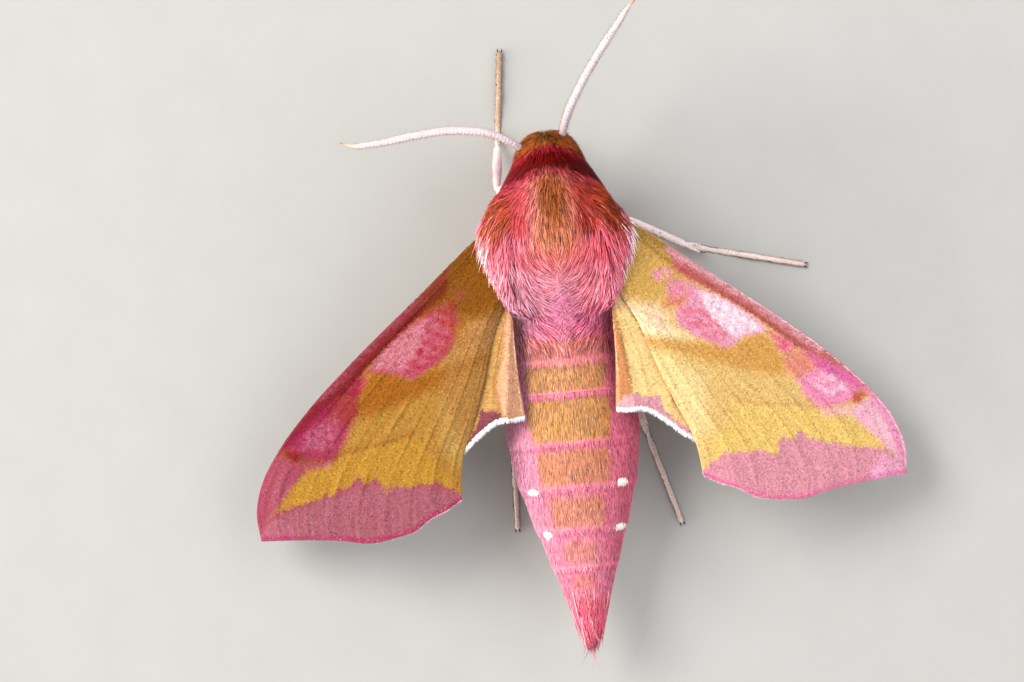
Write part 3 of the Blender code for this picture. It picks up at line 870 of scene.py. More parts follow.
@dataclass(frozen=True)
class Trunk(Form):
    """Head, collar, thorax with its shoulder flaps, abdomen and tail as one skin, inside the solids.

    Attributes:
        rows: y, half width, and the lowest, widest and highest level of the solids, in mm.
        depths: y, and how deep the coat over the skin is there.
        lies: y, and the coat's angle towards the middle of the back there, in radians.
        flap: Middle line of a shoulder flap from front to back, and half its width.
        flap_half: Half a flap's thickness.
        flap_roll: How far a flap leans out, in radians.
        flap_inset: Depth of the coat over a flap.
        flap_join: How softly a flap runs into the body.
        right_pull: How much closer to the body the right flap's front lies.
        shoulder_turn: How far from the middle of the back the coat is thinnest over a flap, in radians.
        shoulder_wide: How wide that thin place is, in radians.
        shoulder_thin: How much thinner it is there.
        front: y of the head's end.
        back: y of the tail's end.
        cap: Length over which each end is rounded off.
        segment_ends: Where the abdomen's rings end.
        step: How far each ring's hind edge stands over the next ring.
    """

    rows: Points = corners(
        "5.5 0.95 4.9 5.8 6.7, 4.9 1.4 4.2 6.1 7.3, 4.1 1.92 3.85 6.25 7.75, 3.4 2.2 3.75 6.18 8.1, "
        "2.8 2.62 3.4 6.1 8.85, 1.9 3.15 3.1 6.15 9.45, 0.9 3.58 2.85 6.22 9.85, -0.3 3.86 2.6 6.3 10.1, "
        "-1.6 3.9 2.5 6.2 10.1, -3.4 3.5 2.5 5.8 9.3, -5.1 3.2 2.52 5.25 8.3, -6.3 3.33 2.48 4.9 7.7, "
        "-9 3.75 2.25 4.6 7.35, -12 3.92 2.15 4.35 7, -15 3.5 2.2 4.2 6.55, -17.4 2.82 2.4 4.05 6.05, "
        "-19.6 2.08 2.7 4.05 5.55, -22 1.32 3.1 4.13 5.05, -23.4 0.85 3.45 4.15 4.78"
    )
    depths: Points = corners(
        "5.5 0.16, 4 0.26, 2.8 0.38, 1 0.48, -3 0.5, -5.5 0.4, -7 0.25, -9 0.15, -18 0.13, -23.4 0.12"
    )
    lies: Points = corners(
        "5.5 -0.75, 4.6 -0.5, 3.6 -0.25, 2.6 -0.32, 1.2 -0.22, 0.2 0, -0.8 0.4, -1.8 0.8, "
        "-3 1.15, -4.2 1.15, -5.4 0.85, -6.6 0.4, -7.6 0.08, -9 0, -23 0"
    )
    flap: Points = corners("2.45 2.2 7.95 0.3, 2.98 1.2 8.5 0.74, 3.4 -0.6 8.9 1.04, "
                           "3.15 -2.6 8.8 0.9, 2.75 -4.9 8.3 0.45")
    flap_half: float = 0.60
    flap_roll: float = math.radians(28)
    flap_inset: float = 0.24
    flap_join: float = 0.1
    right_pull: float = 0.4
    shoulder_turn: float = 0.75
    shoulder_wide: float = 0.4
    shoulder_thin: float = 0.65
    front: float = 5.34
    back: float = -23.4
    cap: float = 0.6
    segment_ends: tuple[float, ...] = (-8.05, -9.85, -12.75, -15.35, -17.8, -20.0)
    step: float = 0.10

    def share(self, y: float) -> float:
        """The share of a at which y lies."""
        return math.acos(1 - 2 * (self.front - y) / (self.front - self.back)) / math.pi

    def shares(self, y: Array) -> Array:
        """The shares of a at which many y lie."""
        return np.arccos(1 - 2 * (self.front - y) / (self.front - self.back)) / math.pi

    def y_at(self, a: Array) -> Array:
        """y falls from the front to the back by half a cosine wave, so that both ends have close rings."""
        return self.front - (self.front - self.back) * (1 - np.cos(math.pi * np.clip(a, 0, 1))) / 2

    def flap_reach(self, y: Array, level: Array, across: Array, up: Array, pull: Array) -> Array:
        """How far a flap reaches from the body's axis.

        A flap's section is an ellipse that leans out. The ray meets it where a quadratic says, and
        past its edge the reach falls off as fast as it rose.

        Args:
            y: Where along the body.
            level: Height of the body's axis there.
            across: The ray's share sideways.
            up: The ray's share upwards.
            pull: How far the flap is pulled in.

        Returns:
            The reach in mm, 0 where the ray misses the flap.
        """
        share = np.linspace(0, 1, 65)
        table = smooth_rows(np.column_stack([np.linspace(0, 1, len(self.flap)), self.flap]), share)[::-1]
        columns = (*table[:, [0, 2, 3]].T, share[::-1])
        x, z, half, part = (np.interp(y, table[:, 1], column) for column in columns)
        ring = 2 * np.sqrt(np.clip(part * (1 - part), 0, 1))
        cos, sin = math.cos(self.flap_roll), math.sin(self.flap_roll)
        wide = np.maximum(ring * (half - self.flap_inset * 0.6), 1e-3)
        thick = np.maximum(ring * (self.flap_half - self.flap_inset), 1e-3)
        ray = ((across * cos - up * sin) / wide, (across * sin + up * cos) / thick)
        x = x - pull
        middle = ((x * cos - (z - level) * sin) / wide, (x * sin + (z - level) * cos) / thick)
        square, cross = ray[0] ** 2 + ray[1] ** 2, ray[0] * middle[0] + ray[1] * middle[1]
        inside = cross**2 - square * (middle[0] ** 2 + middle[1] ** 2 - 1)
        reach = (cross + np.sign(inside) * np.sqrt(np.abs(inside))) / square
        return np.where((ring > 0.08) & (reach > 0), reach, 0.0)

    def swell(self, y: Array, off: Array) -> Array:
        """How far the skin stands off the solids: the rings' hind edges less the coat's depth.

        Args:
            y: Where along the body.
            off: The turn away from the middle of the back, in radians.

        Returns:
            The distance in mm, below 0 inside the solids.
        """
        depth = smooth_rows(np.array(self.depths), y)[..., 0]
        shoulder = np.exp(-(((off - self.shoulder_turn) / self.shoulder_wide) ** 2))
        shoulder = shoulder * ease(2.6, 1.0, y) * ease(-5.6, -4.0, y)
        depth = depth * (1 - self.shoulder_thin * shoulder)
        edges = np.array((-5.0, *self.segment_ends, -24.0))
        ring = np.clip(np.searchsorted(-edges, -y) - 1, 0, len(edges) - 2)
        through = (edges[ring] - y) / (edges[ring] - edges[ring + 1])
        stands = self.step * (np.clip(through, 0, 1) ** 2 - 0.5) * ease(1.0, 0.93, through)
        return np.where(y < edges[1] + 1.5, stands, 0.0) - depth

    def at(self, a: Array, b: Array) -> Array:
        """Two half ellipses on the widest level, joined to the flaps and closed by quarter circles.

        The join of the body's reach r and a flap's reach s is (r + s + root of ((r - s)^2 + join)) / 2.

        Args:
            a: Shares from the head's end to the tail's.
            b: Shares round it from below, by the right.

        Returns:
            The points in mm.
        """
        y = self.y_at(a)
        width, low, level, high = np.moveaxis(smooth_rows(np.array(self.rows), y), -1, 0)
        turn = 2 * math.pi * b - math.pi / 2
        swell = self.swell(y, np.abs(np.mod(b, 1.0) - 0.5) * 2 * math.pi)
        from_end = np.minimum(y - self.back, self.front - y) / self.cap
        cap = np.sqrt(np.maximum(1 - (1 - np.clip(from_end, 0, 1)) ** 2, 1e-8))
        x = (width + swell) * cap * np.cos(turn)
        up = np.where(np.sin(turn) > 0, high - level + swell, level - low + swell) * cap * np.sin(turn)
        reach = np.maximum(np.hypot(x, up), 1e-6)
        pull = self.right_pull * ease(-1.2, 1.2, y) * (np.cos(turn) > 0)
        flap = self.flap_reach(y, level, np.abs(x) / reach, up / reach, pull)
        both = (reach + flap + np.sqrt((reach - flap) ** 2 + self.flap_join)) / 2
        grown = np.where(flap > 0, np.maximum(both, reach), reach) / reach
        return np.stack([x * grown, y + 0 * x, level + up * grown], axis=-1)

    def heading(self, points: Array, a: Array, b: Array) -> Array:
        """The table's angle to the middle of the back, which fades on that line, on the flaps and below.

        Args:
            points: Where the roots are.
            a: Their shares along the body.
            b: Their shares round it.

        Returns:
            The angles in radians.
        """
        off = (b - 0.5) * 2 * math.pi
        y = points[..., 1]
        angle = smooth_rows(np.array(self.lies), y)[..., 0]
        narrow = np.where(angle > 0, 0.14, 0.45)
        on_flap = ease(0.45, 0.8, np.abs(off)) * ease(-5.6, -4.4, y) * ease(3.0, 2.0, y)
        wide = ease(1.9, 1.3, np.abs(off)) * (1 - on_flap * np.where(angle > 0, 1.0, 0.0))
        flare = -0.22 * on_flap * ease(-4.0, -1.0, y)
        return -np.tanh(off / narrow) * (angle * wide + flare)

    def tint(self, points: Array, a: Array, b: Array) -> Array:
        """The back's markings, with painted shade that makes them deeper and darker towards its right, and
        which fade into the paler belly.

        Args:
            points: The places in mm.
            a: Their shares along the body.
            b: Their shares round it.

        Returns:
            Their linear colours.
        """
        places = points[:, :2] + np.column_stack([0.17 * ease(-7.0, -9.0, points[:, 1]), 0 * points[:, 1]])
        back = painted(BODY_GROUND, BODY_MARKINGS, places)
        # Painted shade: the back's colours deepen and darken towards its right side.
        right = ease(-0.6, 2.6, points[:, 0])[:, None] * 0.5
        back = back + (deepened(back, 1.45, 0.92) - back) * right
        belly = painted(BELLY_GROUND, BELLY_MARKINGS, places)
        off = np.abs(np.mod(b, 1.0) - 0.5) * 2 * math.pi
        below = ease(1.6, 2.15, off + 0.12 * ripple(points, 1.2, 3))[:, None]
        return back + (belly - back) * below


BODY_GROUND = "#F28FA6"
BELLY_GROUND = "#E8A09C"


def ring_patch(front: float, back: float, half: float, colour: str, strength: float, soft: float) -> Marking:
    """One ring's ochre patch: a band across the back with a rounded, narrower hind edge."""
    side = ((half, front), (half * 1.03, (front + back) / 2), (half * 0.92, back))
    return Marking(((-1.0, front), *side, (-1.0, back)), colour, soft, strength)


def ring_line(y: float, half: float) -> Marking:
    """The magenta line at a ring's hind edge."""
    return Marking(((-0.5, y), (half, y - 0.05)), "#F07CA8", 0.12, 0.5, 0.1)


BODY_MARKINGS = (
    # thorax
    patch("-1 2.9, 0.7 2.85, 1.05 2.2, 1.25 1, 1.5 0, 1.6 -1, 1.1 -2.2, -1 -2.8", "#CF8568", 0.9),
    patch("-1 3, 0.7 2.9, 0.75 1.8, 0.6 0.6, 0.2 0, -1 -0.1", "#A15C32", 0.6, 0.95),
    # The red patch by each shoulder: the right one is darker, partly as painted shade.
    patch("1.1 2.6, 2.5 2.3, 2.7 1, 2.7 -0.4, 1.5 -0.5, 1.3 0.8", "#C74C48", 0.35, 0.85, only=Side.LEFT),
    patch("0.9 2.6, 2.5 2.2, 2.6 1, 2.4 -0.6, 1.3 -0.5, 1.1 0.8", "#AC3F20", 0.35, 0.85, only=Side.RIGHT),
    patch("2.2 2.5, 3.4 2.4, 4.8 1.2, 4.8 0, 4.3 -1, 3.2 -0.9, 2.5 0.1",
          "#AD5626", 0.4, 0.9, only=Side.LEFT),
    patch("2.1 2.5, 3.4 2.4, 4.8 1, 4.5 -0.7, 3.4 -1.1, 2.4 0", "#A5532B", 0.4, 0.95, only=Side.RIGHT),
    patch("-1 -1.6, 1 -1.4, 2.6 -0.6, 4.2 -0.9, 4.2 -3, -1 -3", "#F47C86", 0.6, 0.7),
    patch("-1 -2.7, 1.6 -2.3, 3.2 -2.2, 3.4 -4.8, 1.5 -5, -1 -4.6", "#F79BAA", 0.5, 0.9),
    patch("-1 -3.6, 0.4 -3.7, 1 -4.6, 0.9 -5.7, -1 -6", "#F58CB0", 0.4, 0.7),
    patch("-1 -5.2, 3.4 -4.9, 3.4 -6.6, -1 -6.5", "#FA8CAA", 0.4, 0.8),
    patch("4.5 0.3, 4.3 -0.8, 3.95 -2.4, 3.45 -4.2, 3.1 -5", "#FFEAEC", 0.28, 0.8, 0.14),
    # Painted light: a pale pink wash over the left of the rear thorax and the front of the abdomen.
    patch("1.4 -3.6, 3.6 -3.4, 4.2 -9.5, 2.4 -9.5, 2 -5.8", "#FFB0C4", 0.6, 0.6, only=Side.LEFT),
    # collar and head
    patch("-1 4.6, 2.4 4.6, 3.4 2.6, 3 1.7, 2.2 2.3, 1.2 2.65, 0 2.95, -1 2.95", "#741911", 0.2),
    patch("0.6 3.6, 2.4 3.6, 3.4 2.4, 3 1.7, 1.4 2.6", "#A62C48", 0.4, 0.6, only=Side.LEFT),
    patch("-0.3 4.3, 0.9 4.1, 1.85 3.4, 2.2 2.75, 1.1 2.85, 0 3.2, -0.3 3.2", "#6E1710", 0.3, 0.75),
    # Painted shade, in part: a darker maroon over the right of the collar.
    patch("-0.6 4.3, 0.9 4.05, 1.9 3.3, 2.2 2.7, 1.1 2.8, 0 3.15, -0.6 3.2",
          "#64140C", 0.3, 0.7, only=Side.RIGHT),
    patch("-1 7, 3 7, 3 3.4, 2.2 3.5, 1.6 3.85, 1 4.25, 0.4 4.5, -1 4.55", "#9E5A2A", 0.15),
    patch("-0.5 5.6, 0.5 5.6, 0.5 4.75, -0.5 4.75", "#86602A", 0.3, 0.7),
    patch("-0.2 4.45, 0.5 4.33, 1.2 4, 1.9 3.55, 2.3 3.2", "#A4243E", 0.12, 0.85, 0.13),
    patch("-0.5 3.12, 0.4 3.05, 1.3 2.62, 2.2 2.15, 3 1.6", "#D25463", 0.12, 0.85, 0.12),
    # abdomen
    # The abdomen's pink flanks: paler on the left as painted light, deeper on the right as painted shade.
    patch("2.4 -6.2, 5 -6.2, 5 -24, 1 -24, 2 -17", "#FFA6C2", 0.7, 0.95, only=Side.LEFT),
    patch("2.4 -6.2, 5 -6.2, 5 -24, 1 -24, 2 -17", "#F0879C", 0.7, 0.85, only=Side.RIGHT),
    ring_patch(-6.4, -7.85, 2.3, "#DA8F71", 0.65, 0.28),
    ring_patch(-8.1, -9.62, 2.3, "#D19E65", 0.9, 0.08),
    ring_patch(-10.05, -12.5, 2.33, "#D39F64", 0.95, 0.08),
    ring_patch(-13.0, -15.05, 2.05, "#D7976B", 0.85, 0.2),
    ring_patch(-15.75, -17.5, 1.5, "#CF9A58", 0.6, 0.3),
    ring_patch(-18.4, -19.6, 0.9, "#D59A68", 0.5, 0.25),
    ring_patch(-20.5, -21.1, 0.6, "#E48E60", 0.5, 0.25),
    ring_line(-9.83, 2.4), ring_line(-12.78, 2.5), ring_line(-15.4, 1.9), ring_line(-17.85, 1.3),
    patch("-1 -21.6, 3 -21.6, 3 -26, -1 -26", "#D86478", 0.5),
)
BELLY_MARKINGS = (
    patch("-1 7, 4 7, 4 3.2, -1 3.2", "#E9B79B", 0.5),
    patch("-1 -6, 2.2 -6, 1.6 -20, -1 -21", "#E2B27C", 0.8, 0.5),
)


@dataclass(frozen=True)
class Limb(Form):
    """A round stalk along a path, such as a leg's part, an antenna or a palp.

    Attributes:
        path: Points of its axis.
        radii: Radius at each of those shares of its length, as (share, radius).
        shades: Colours along it, as (share, sRGB colour).
        under: Colour of its lower side, if that differs.
        beads: How many joints it has, each a little swollen at its far end.
        bead_swell: How much they swell, as a share of the radius.
    """

    path: Points
    radii: Points
    shades: Shades
    under: str | None = None
    beads: int = 0
    bead_swell: float = 0.12

    def at(self, a: Array, b: Array) -> Array:
        """Rings square to the path, whose radius is the table's, swollen towards each joint's end.

        Args:
            a: Shares along the path.
            b: Shares round it.

        Returns:
            The points in mm.
        """
        points = np.array(self.path)
        a = np.clip(a, 0, 1)
        middle = along(points, a)
        ahead = unit(along(points, np.clip(a + 0.01, 0, 1)) - along(points, np.clip(a - 0.01, 0, 1)))
        upright = abs(unit(points[-1] - points[0])[2]) >= 0.9
        reference = np.array((1.0, 0.1, 0)) if upright else np.array((0.13, 0.07, 1.0))
        aside = unit(np.cross(ahead, reference))
        above = np.cross(aside, ahead)
        table = np.array(self.radii)
        radius = np.interp(a, table[:, 0], table[:, 1])
        if self.beads:
            radius = radius * (1 + self.bead_swell * (((a * self.beads) % 1.0) ** 2 - 0.5))
        turn = 2 * math.pi * b - math.pi / 2
        ring = aside * np.cos(turn)[..., None] + above * np.sin(turn)[..., None]
        return middle + radius[..., None] * ring

    def tint(self, points: Array, a: Array, b: Array) -> Array:
        """Its colours along it, and the lower side's below.

        Args:
            points: The places in mm.
            a: Their shares along it.
            b: Their shares round it.

        Returns:
            Their linear colours.
        """
        places = np.array([share for share, _ in self.shades])
        colours = np.array([linear(colour) for _, colour in self.shades])
        tint = np.stack([np.interp(a, places, colours[:, i]) for i in range(3)], axis=-1)
        if self.under:
            below = ease(0.16, 0.26, np.abs((b % 1.0) - 0.5) + 0.02 * ripple(points, 0.3, 8))[:, None]
            tint = tint + (linear(self.under) - tint) * below
        return tint


@dataclass(frozen=True)
class Wing(Form):
    """One wing, as the patch between its leading edge, outer edge and inner edge, in mm.

    Attributes:
        name: Its name without its side.
        side: Which side it is on.
        costa: Leading edge from root to tip, as x and y on the right side.
        termen: Outer edge from tip to inner corner.
        dorsum: Inner edge from root to inner corner.
        veins: Each vein's share of the way from costa to dorsum, and the share of a where it starts.
        ground: Its ground colour.
        markings: What is painted over that.
        hind: Whether it is the hind wing, which lies lower.
        facing: 1 for its upper face and -1 for its lower one.
        root_x: Distance of its root from the body's middle.
        root_height: Height of its root.
        slope: How much it falls for each mm outwards.
        droop: How much more it falls for the square of that distance.
        roll: How far the leading edge is rolled down.
        sweep: How far it is turned about its root, in radians.
        drop: How much lower the hind wing lies.
        fold_x: Where the hind wing's fold is, 10.3 mm behind the wing roots.
        fold_slant: How far the fold slants for each mm backwards.
        fold_slope: How much the hind wing falls for each mm inwards of the fold.
        half_thickness: Half its thickness.
        vein_height: How far a vein stands out.
        flute: How deep the wing sinks between veins.
        vein_width: Share of the way across at which a vein has fallen away.
        stretch: How much it is lengthened about its root.
        tuck: How far the inner edge lies lower.
    """

    name: str
    side: Side
    costa: Points
    termen: Points
    dorsum: Points
    veins: Points
    ground: str
    markings: tuple[Marking, ...]
    hind: bool = False
    facing: float = 1.0
    root_x: float = 3.3
    root_height: float = 8.35
    slope: float = 0.25
    droop: float = 0.004
    roll: float = 0.3
    sweep: float = math.radians(0.8)
    drop: float = 0.52
    fold_x: float = 3.75
    fold_slant: float = 0.135
    fold_slope: float = 0.85
    half_thickness: float = 0.07
    vein_height: float = 0.035
    flute: float = 0.045
    vein_width: float = 0.009
    stretch: float = 1.009
    tuck: float = 0.28

    def plan(self, a: Array, b: Array) -> Array:
        """A Coons patch: the two ruled surfaces less the one of the corners.

        Args:
            a: Shares from root to outer edge.
            b: Shares from leading to inner edge.

        Returns:
            x and y on the right side, in mm.
        """
        costa, termen, dorsum = (np.array(edge) for edge in (self.costa, self.termen, self.dorsum))
        a, b = a[..., None], b[..., None]
        inner = (1 - a) * (1 - b) * costa[0] + a * (1 - b) * costa[-1]
        corner = inner + (1 - a) * b * dorsum[0] + a * b * dorsum[-1]
        root = costa[0] + b * (dorsum[0] - costa[0])
        across = (1 - a) * root + a * along(termen, b[..., 0])
        lengthwise = (1 - b) * along(costa, a[..., 0]) + b * along(dorsum, a[..., 0])
        outline = across + lengthwise - corner
        return (outline - (self.root_x, 0.0)) * self.stretch + (self.root_x, 0.0)

    def at(self, a: Array, b: Array) -> Array:
        """The plan raised to a slope that steepens outwards, with ridged veins and flutes between them.

        Args:
            a: Shares from root to outer edge.
            b: Shares from leading to inner edge.

        Returns:
            The points in mm.
        """
        a, b = np.broadcast_arrays(np.clip(a, 0, 1), np.clip(b, 0, 1))
        x, y = np.moveaxis(self.plan(a, b), -1, 0)
        out = x - self.root_x
        z = self.root_height - self.slope * out - self.droop * np.maximum(out, 0) ** 2
        if self.hind:
            inwards = self.fold_x - self.fold_slant * (y + 10.3) - x
            z = z - self.drop - self.fold_slope * np.maximum(inwards, 0)
            z = z + 0.10 * np.exp(-(((inwards - 0.05) / 0.3) ** 2)) * ease(0.15, 0.4, a)
        else:
            z = z - self.roll * np.clip(1 - b / 0.09, 0, 1) * np.minimum(1, 4 * a)
            z = z - self.tuck * ease(0.8, 1.0, b)
        for place, start in self.veins:
            grown = np.clip(5 * (a - start) + 0.5, 0, 1) * np.minimum(1, 6 * (1 - a) + 0.2)
            z = z + self.vein_height * np.exp(-(((b - place) / self.vein_width) ** 2)) * grown
            z = z + self.flute * (np.exp(-(((b - place) / 0.035) ** 2)) - 0.5) * grown * ease(0.3, 0.95, a)
        edge = np.minimum(np.minimum(b, 1 - b) / 0.03, (1 - a) / 0.02)
        z = z + self.facing * self.half_thickness * np.sqrt(np.clip(edge, 0.04, 1))
        sweep = self.side.value * self.sweep
        x = self.root_x + out * np.cos(sweep) - y * np.sin(sweep)
        y = out * np.sin(sweep) + y * np.cos(sweep)
        return np.stack([self.side.value * x, y, z], axis=-1)

    def outward(self, points: Array, a: Array, b: Array) -> Array:
        """Up on the upper face and down on the lower one."""
        return np.broadcast_to((0.0, 0.0, self.facing), points.shape)

    def tint(self, points: Array, a: Array, b: Array) -> Array:
        """The markings with dark vein lines, paler and plainer below, and deeper and darker on the left
        front wing as painted shade.

        Args:
            points: The places in mm.
            a: Their shares from root to outer edge.
            b: Their shares from leading to inner edge.

        Returns:
            Their linear colours.
        """
        plan = self.plan(np.clip(a, 0, 1), np.clip(b, 0, 1))
        places = plan + 0.04 * np.column_stack([ripple(plan, 0.4, 11), ripple(plan, 0.4, 12)])
        tint = painted(self.ground, self.markings, places * (self.side.value, 1.0))
        streak = ripple(np.column_stack([a * 9.0, b * 60.0]), 2.2, 21)[:, None]
        tint = tint * (1 + 0.09 * streak * (0.6, 1.0, 1.3))
        faint = 0.4 if self.side is Side.RIGHT else 0.22
        for place, start in self.veins:
            dashes = 0.6 + 0.4 * ripple(a[:, None] * 100.0, 2.5, 31)
            line = np.exp(-(((b - place) / 0.003) ** 2)) * ease(start, start + 0.1, a)
            dark = line * faint * dashes.clip(0, 1)
            tint = tint * (1 - dark[:, None] * np.array((0.6, 0.75, 0.9)))
        if self.facing < 0:
            tint = tint * 0.55 + linear("#C9985A") * 0.45
        # Painted shade: the left front wing is made deeper and darker all over; the other wings are only
        # dimmed a little.
        return deepened(tint, 1.6, 0.51) if self.side is Side.LEFT and not self.hind else tint * 0.92

    def both_faces(self, rows: int, columns: int) -> Shell:
        """A closed sheet: its upper and its lower face, joined by a strip round their edges.

        Args:
            rows: How many rows of points a face has from root to outer edge.
            columns: How many it has from leading to inner edge.

        Returns:
            The sheet.
        """
        a, b = share_grid(rows, columns, closed=False)
        lower = replace(self, facing=-self.facing)
        points = np.concatenate([self.at(a, b), lower.at(a, b)])
        tint = np.concatenate([self.tint(points, a, b), lower.tint(points, a, b)])
        index = np.arange(rows * columns).reshape(rows, columns)
        rim = np.concatenate([index[0, :-1], index[:-1, -1], index[-1, :0:-1], index[:0:-1, 0]])
        after, below = np.roll(rim, -1), rows * columns
        face = grid_faces(rows, columns, False)
        strip = np.column_stack([after, rim, rim + below, after + below])
        return Shell(points, turned_out(points, [face, face[:, ::-1] + below, strip]), tint)


# The moth's parts


@dataclass(frozen=True)
class Region:
    """One piece of the coat: it grows from y front to y back, over a span of b around the trunk."""

    name: str
    front: float
    back: float
    around: tuple[float, float]
    coat: Coat
    slot: str = "pink_fur"


UPPER, LOWER, WING_TO_WING, UNDER_WINGS = (0.18, 0.82), (-0.18, 0.18), (0.24, 0.76), (-0.24, 0.24)
REGIONS = (
    Region("coat_head", 5.34, 3.3, (0.0, 1.0),
           Coat(0.060, 0.66, 0.046, 0.32, 2, pale=0.0, dark=0.10, shade=0.38, wander=0.2, depth=0.5),
           "olive_fur"),
    Region("coat_collar", 4.5, 2.2, (0.12, 0.88),
           Coat(0.064, 0.95, 0.046, 0.38, 2, pale=0.0, dark=0.10, shade=0.4, wander=0.1, depth=0.5)),
    Region("coat_thorax_front", 3.05, -1.3, WING_TO_WING,
           Coat(0.068, 1.25, 0.050, 0.42, 2, pale=0.012, dark=0.12, shade=0.4, depth=0.6)),
    Region("coat_thorax_back", -1.2, -6.6, WING_TO_WING,
           Coat(0.0735, 1.3, 0.052, 0.42, 2, pale=0.04, dark=0.12, shade=0.4, depth=0.6)),
    Region("coat_flanks", 2.6, -6.6, UNDER_WINGS, Coat(0.14, 1.1, 0.09, 0.35, 2)),
    Region("coat_abdomen_front", -5.9, -12.4, UPPER,
           Coat(0.056, 0.5, 0.050, 0.09, 1, pale=0.03, dark=0.09, shade=0.32, wander=0.05, depth=0.4)),
    Region("coat_abdomen_back", -12.3, -23.2, UPPER,
           Coat(0.058, 0.5, 0.048, 0.10, 1, pale=0.04, dark=0.08, shade=0.32, wander=0.05, depth=0.4)),
    Region("coat_belly", -5.9, -23.2, LOWER, Coat(0.11, 0.55, 0.1, 0.09, 1)),
)


@dataclass
class Body:
    """The trunk with its palps and tail brush, and the coat over them, with places and sizes in mm."""

    trunk: Trunk = field(default_factory=Trunk)
    eye_place: tuple[float, float, float] = (1.10, 4.05, 4.95)
    eye_radius: float = 0.85
    white_spots: Points = corners("-2.61 -15.34, 2.51 -15.16, -2.01 -17.87, 2.19 -17.76")
    flap_hairs: int = 900
    back_hairs: tuple[int, int] = (280, 50)
    head_hairs: int = 700
    flank_hairs: int = 620
    spot_hairs: int = 170
    brush_hairs: int = 2700
    long_brush_hairs: int = 26
    brush_front: float = -20.8
    brush_end: tuple[float, float, float] = (-0.04, -24.75, 4.15)

    def clear_of_eyes(self, path: Array) -> Array:
        """Which hairs keep out of both eyes, from their paths."""
        mirrored = np.concatenate([np.abs(path[..., :1]), path[..., 1:]], axis=-1)
        return (np.linalg.norm(mirrored - self.eye_place, axis=-1) > self.eye_radius + 0.04).all(1)

    def tuft(self, y: Array, b: Array, rng: Rng, length: Array, width: float,
             lean: tuple[float, float], tint: Array, lift: float = -0.05) -> Shell:
        """Loose hairs on the trunk, which lie backwards and lean out and up.

        Args:
            y: Where along the body each starts, in mm.
            b: Its share round it.
            rng: Random draws.
            length: How long it is.
            width: How wide all are.
            lean: How far they lean outwards and upwards.
            tint: Each one's colour.
            lift: How far off the skin their roots are.

        Returns:
            The hairs.
        """
        a = self.trunk.shares(y)
        points, normal, back, side = self.trunk.frame(a, b)
        outwards = unit(side) * np.sign(b - 0.5)[:, None]
        count = len(a)
        stray = rng.normal(0, 0.12, (count, 3))
        aim = unit(unit(back) + outwards * lean[0] + normal * lean[1] + stray)
        spot = np.column_stack([np.mod(b, 1.0), a]) * 0.99
        return strands(points + normal * lift, aim, normal, length, np.full(count, width),
                       -0.12 * length, tint, spot)

    def flap_fringe(self, side: Side, rng: Rng) -> Shell:
        """The pale fringe of one shoulder flap.

        Args:
            side: Which flap.
            rng: Random draws.

        Returns:
            The hairs.
        """
        count = self.flap_hairs
        y = rng.uniform(-4.9, 0.9, count)
        b = 0.5 - side.value * (0.185 + rng.normal(0, 0.02, count))
        tint = linear("#FFF0EE") * rng.uniform(0.75, 1.1, (count, 1))
        pink = (rng.random((count, 1)) < 0.45) | (y > 0)[:, None]
        tint = np.where(pink, linear("#F0849C"), tint) * rng.uniform(0.8, 1.1, (count, 1))
        return self.tuft(y, b, rng, rng.uniform(0.7, 1.5, count), 0.042, (0.32, 0.12), tint, 0.2)

    def fuzz(self, rng: Rng) -> list[Shell]:
        """Long hairs on the back, short ones that stand up on the head, and fine pink ones at the flanks.

        Args:
            rng: Random draws.

        Returns:
            The hairs of the three kinds.
        """
        behind, ahead = self.back_hairs
        y = np.concatenate([rng.uniform(-22.0, -13.0, behind), rng.uniform(-12.0, 2.0, ahead)])
        count = len(y)
        b = 0.5 + rng.normal(0, 0.09, count)
        tint = np.where(rng.random((count, 1)) < 0.6, linear("#F6D2C6"), linear("#C08A4C"))
        long = self.tuft(y, b, rng, rng.uniform(0.4, 0.9, count), 0.022, (-0.5, 0.16), tint)

        count = self.head_hairs
        y, b = rng.uniform(3.7, 5.25, count), 0.5 + rng.uniform(-0.32, 0.32, count)
        a = self.trunk.shares(y)
        tint = self.trunk.tint(self.trunk.at(a, b), a, b) * rng.uniform(0.7, 1.6, (count, 1))
        head = self.tuft(y, b, rng, rng.uniform(0.25, 0.5, count), 0.028, (-0.3, 0.85), tint, 0.12)

        count = self.flank_hairs
        y = rng.uniform(-22.0, -6.5, count)
        b = 0.5 + rng.choice((-1, 1), count) * (0.235 + rng.normal(0, 0.02, count))
        tint = linear("#FFB4C6") * rng.uniform(0.7, 1.2, (count, 1))
        flanks = self.tuft(y, b, rng, rng.uniform(0.3, 0.6, count), 0.024, (-0.1, 0.22), tint)
        return [long, head, flanks]

    def white_spot(self, x: float, y: float, rng: Rng) -> Shell:
        """One white spot: short hairs spread over an oval.

        Args:
            x: Its middle, in mm.
            y: Its middle, in mm.
            rng: Random draws.

        Returns:
            The hairs.
        """
        count = self.spot_hairs
        turn = rng.uniform(0, 2 * math.pi, count)
        far = np.sqrt(rng.random(count)) * rng.uniform(0.75, 1.3, count)
        place = y + 0.1 + 0.13 * far * np.sin(turn)
        half = smooth_rows(np.array(self.trunk.rows), place)[:, 0] - 0.13
        b = 0.5 - np.arcsin((x + 0.24 * far * np.cos(turn)) / half) / (2 * math.pi)
        tint = linear("#FFF9EC") * rng.uniform(0.85, 1.1, (count, 1))
        return self.tuft(place, b, rng, rng.uniform(0.1, 0.36, count), 0.04, (0.0, 0.2), tint, 0.05)

    def loose_hairs(self, rng: Rng) -> Shell:
        """All the hairs that stand out of the coat."""
        fringes, fuzz = [self.flap_fringe(side, rng) for side in Side], self.fuzz(rng)
        return joined(fringes + fuzz + [self.white_spot(x, y, rng) for x, y in self.white_spots])

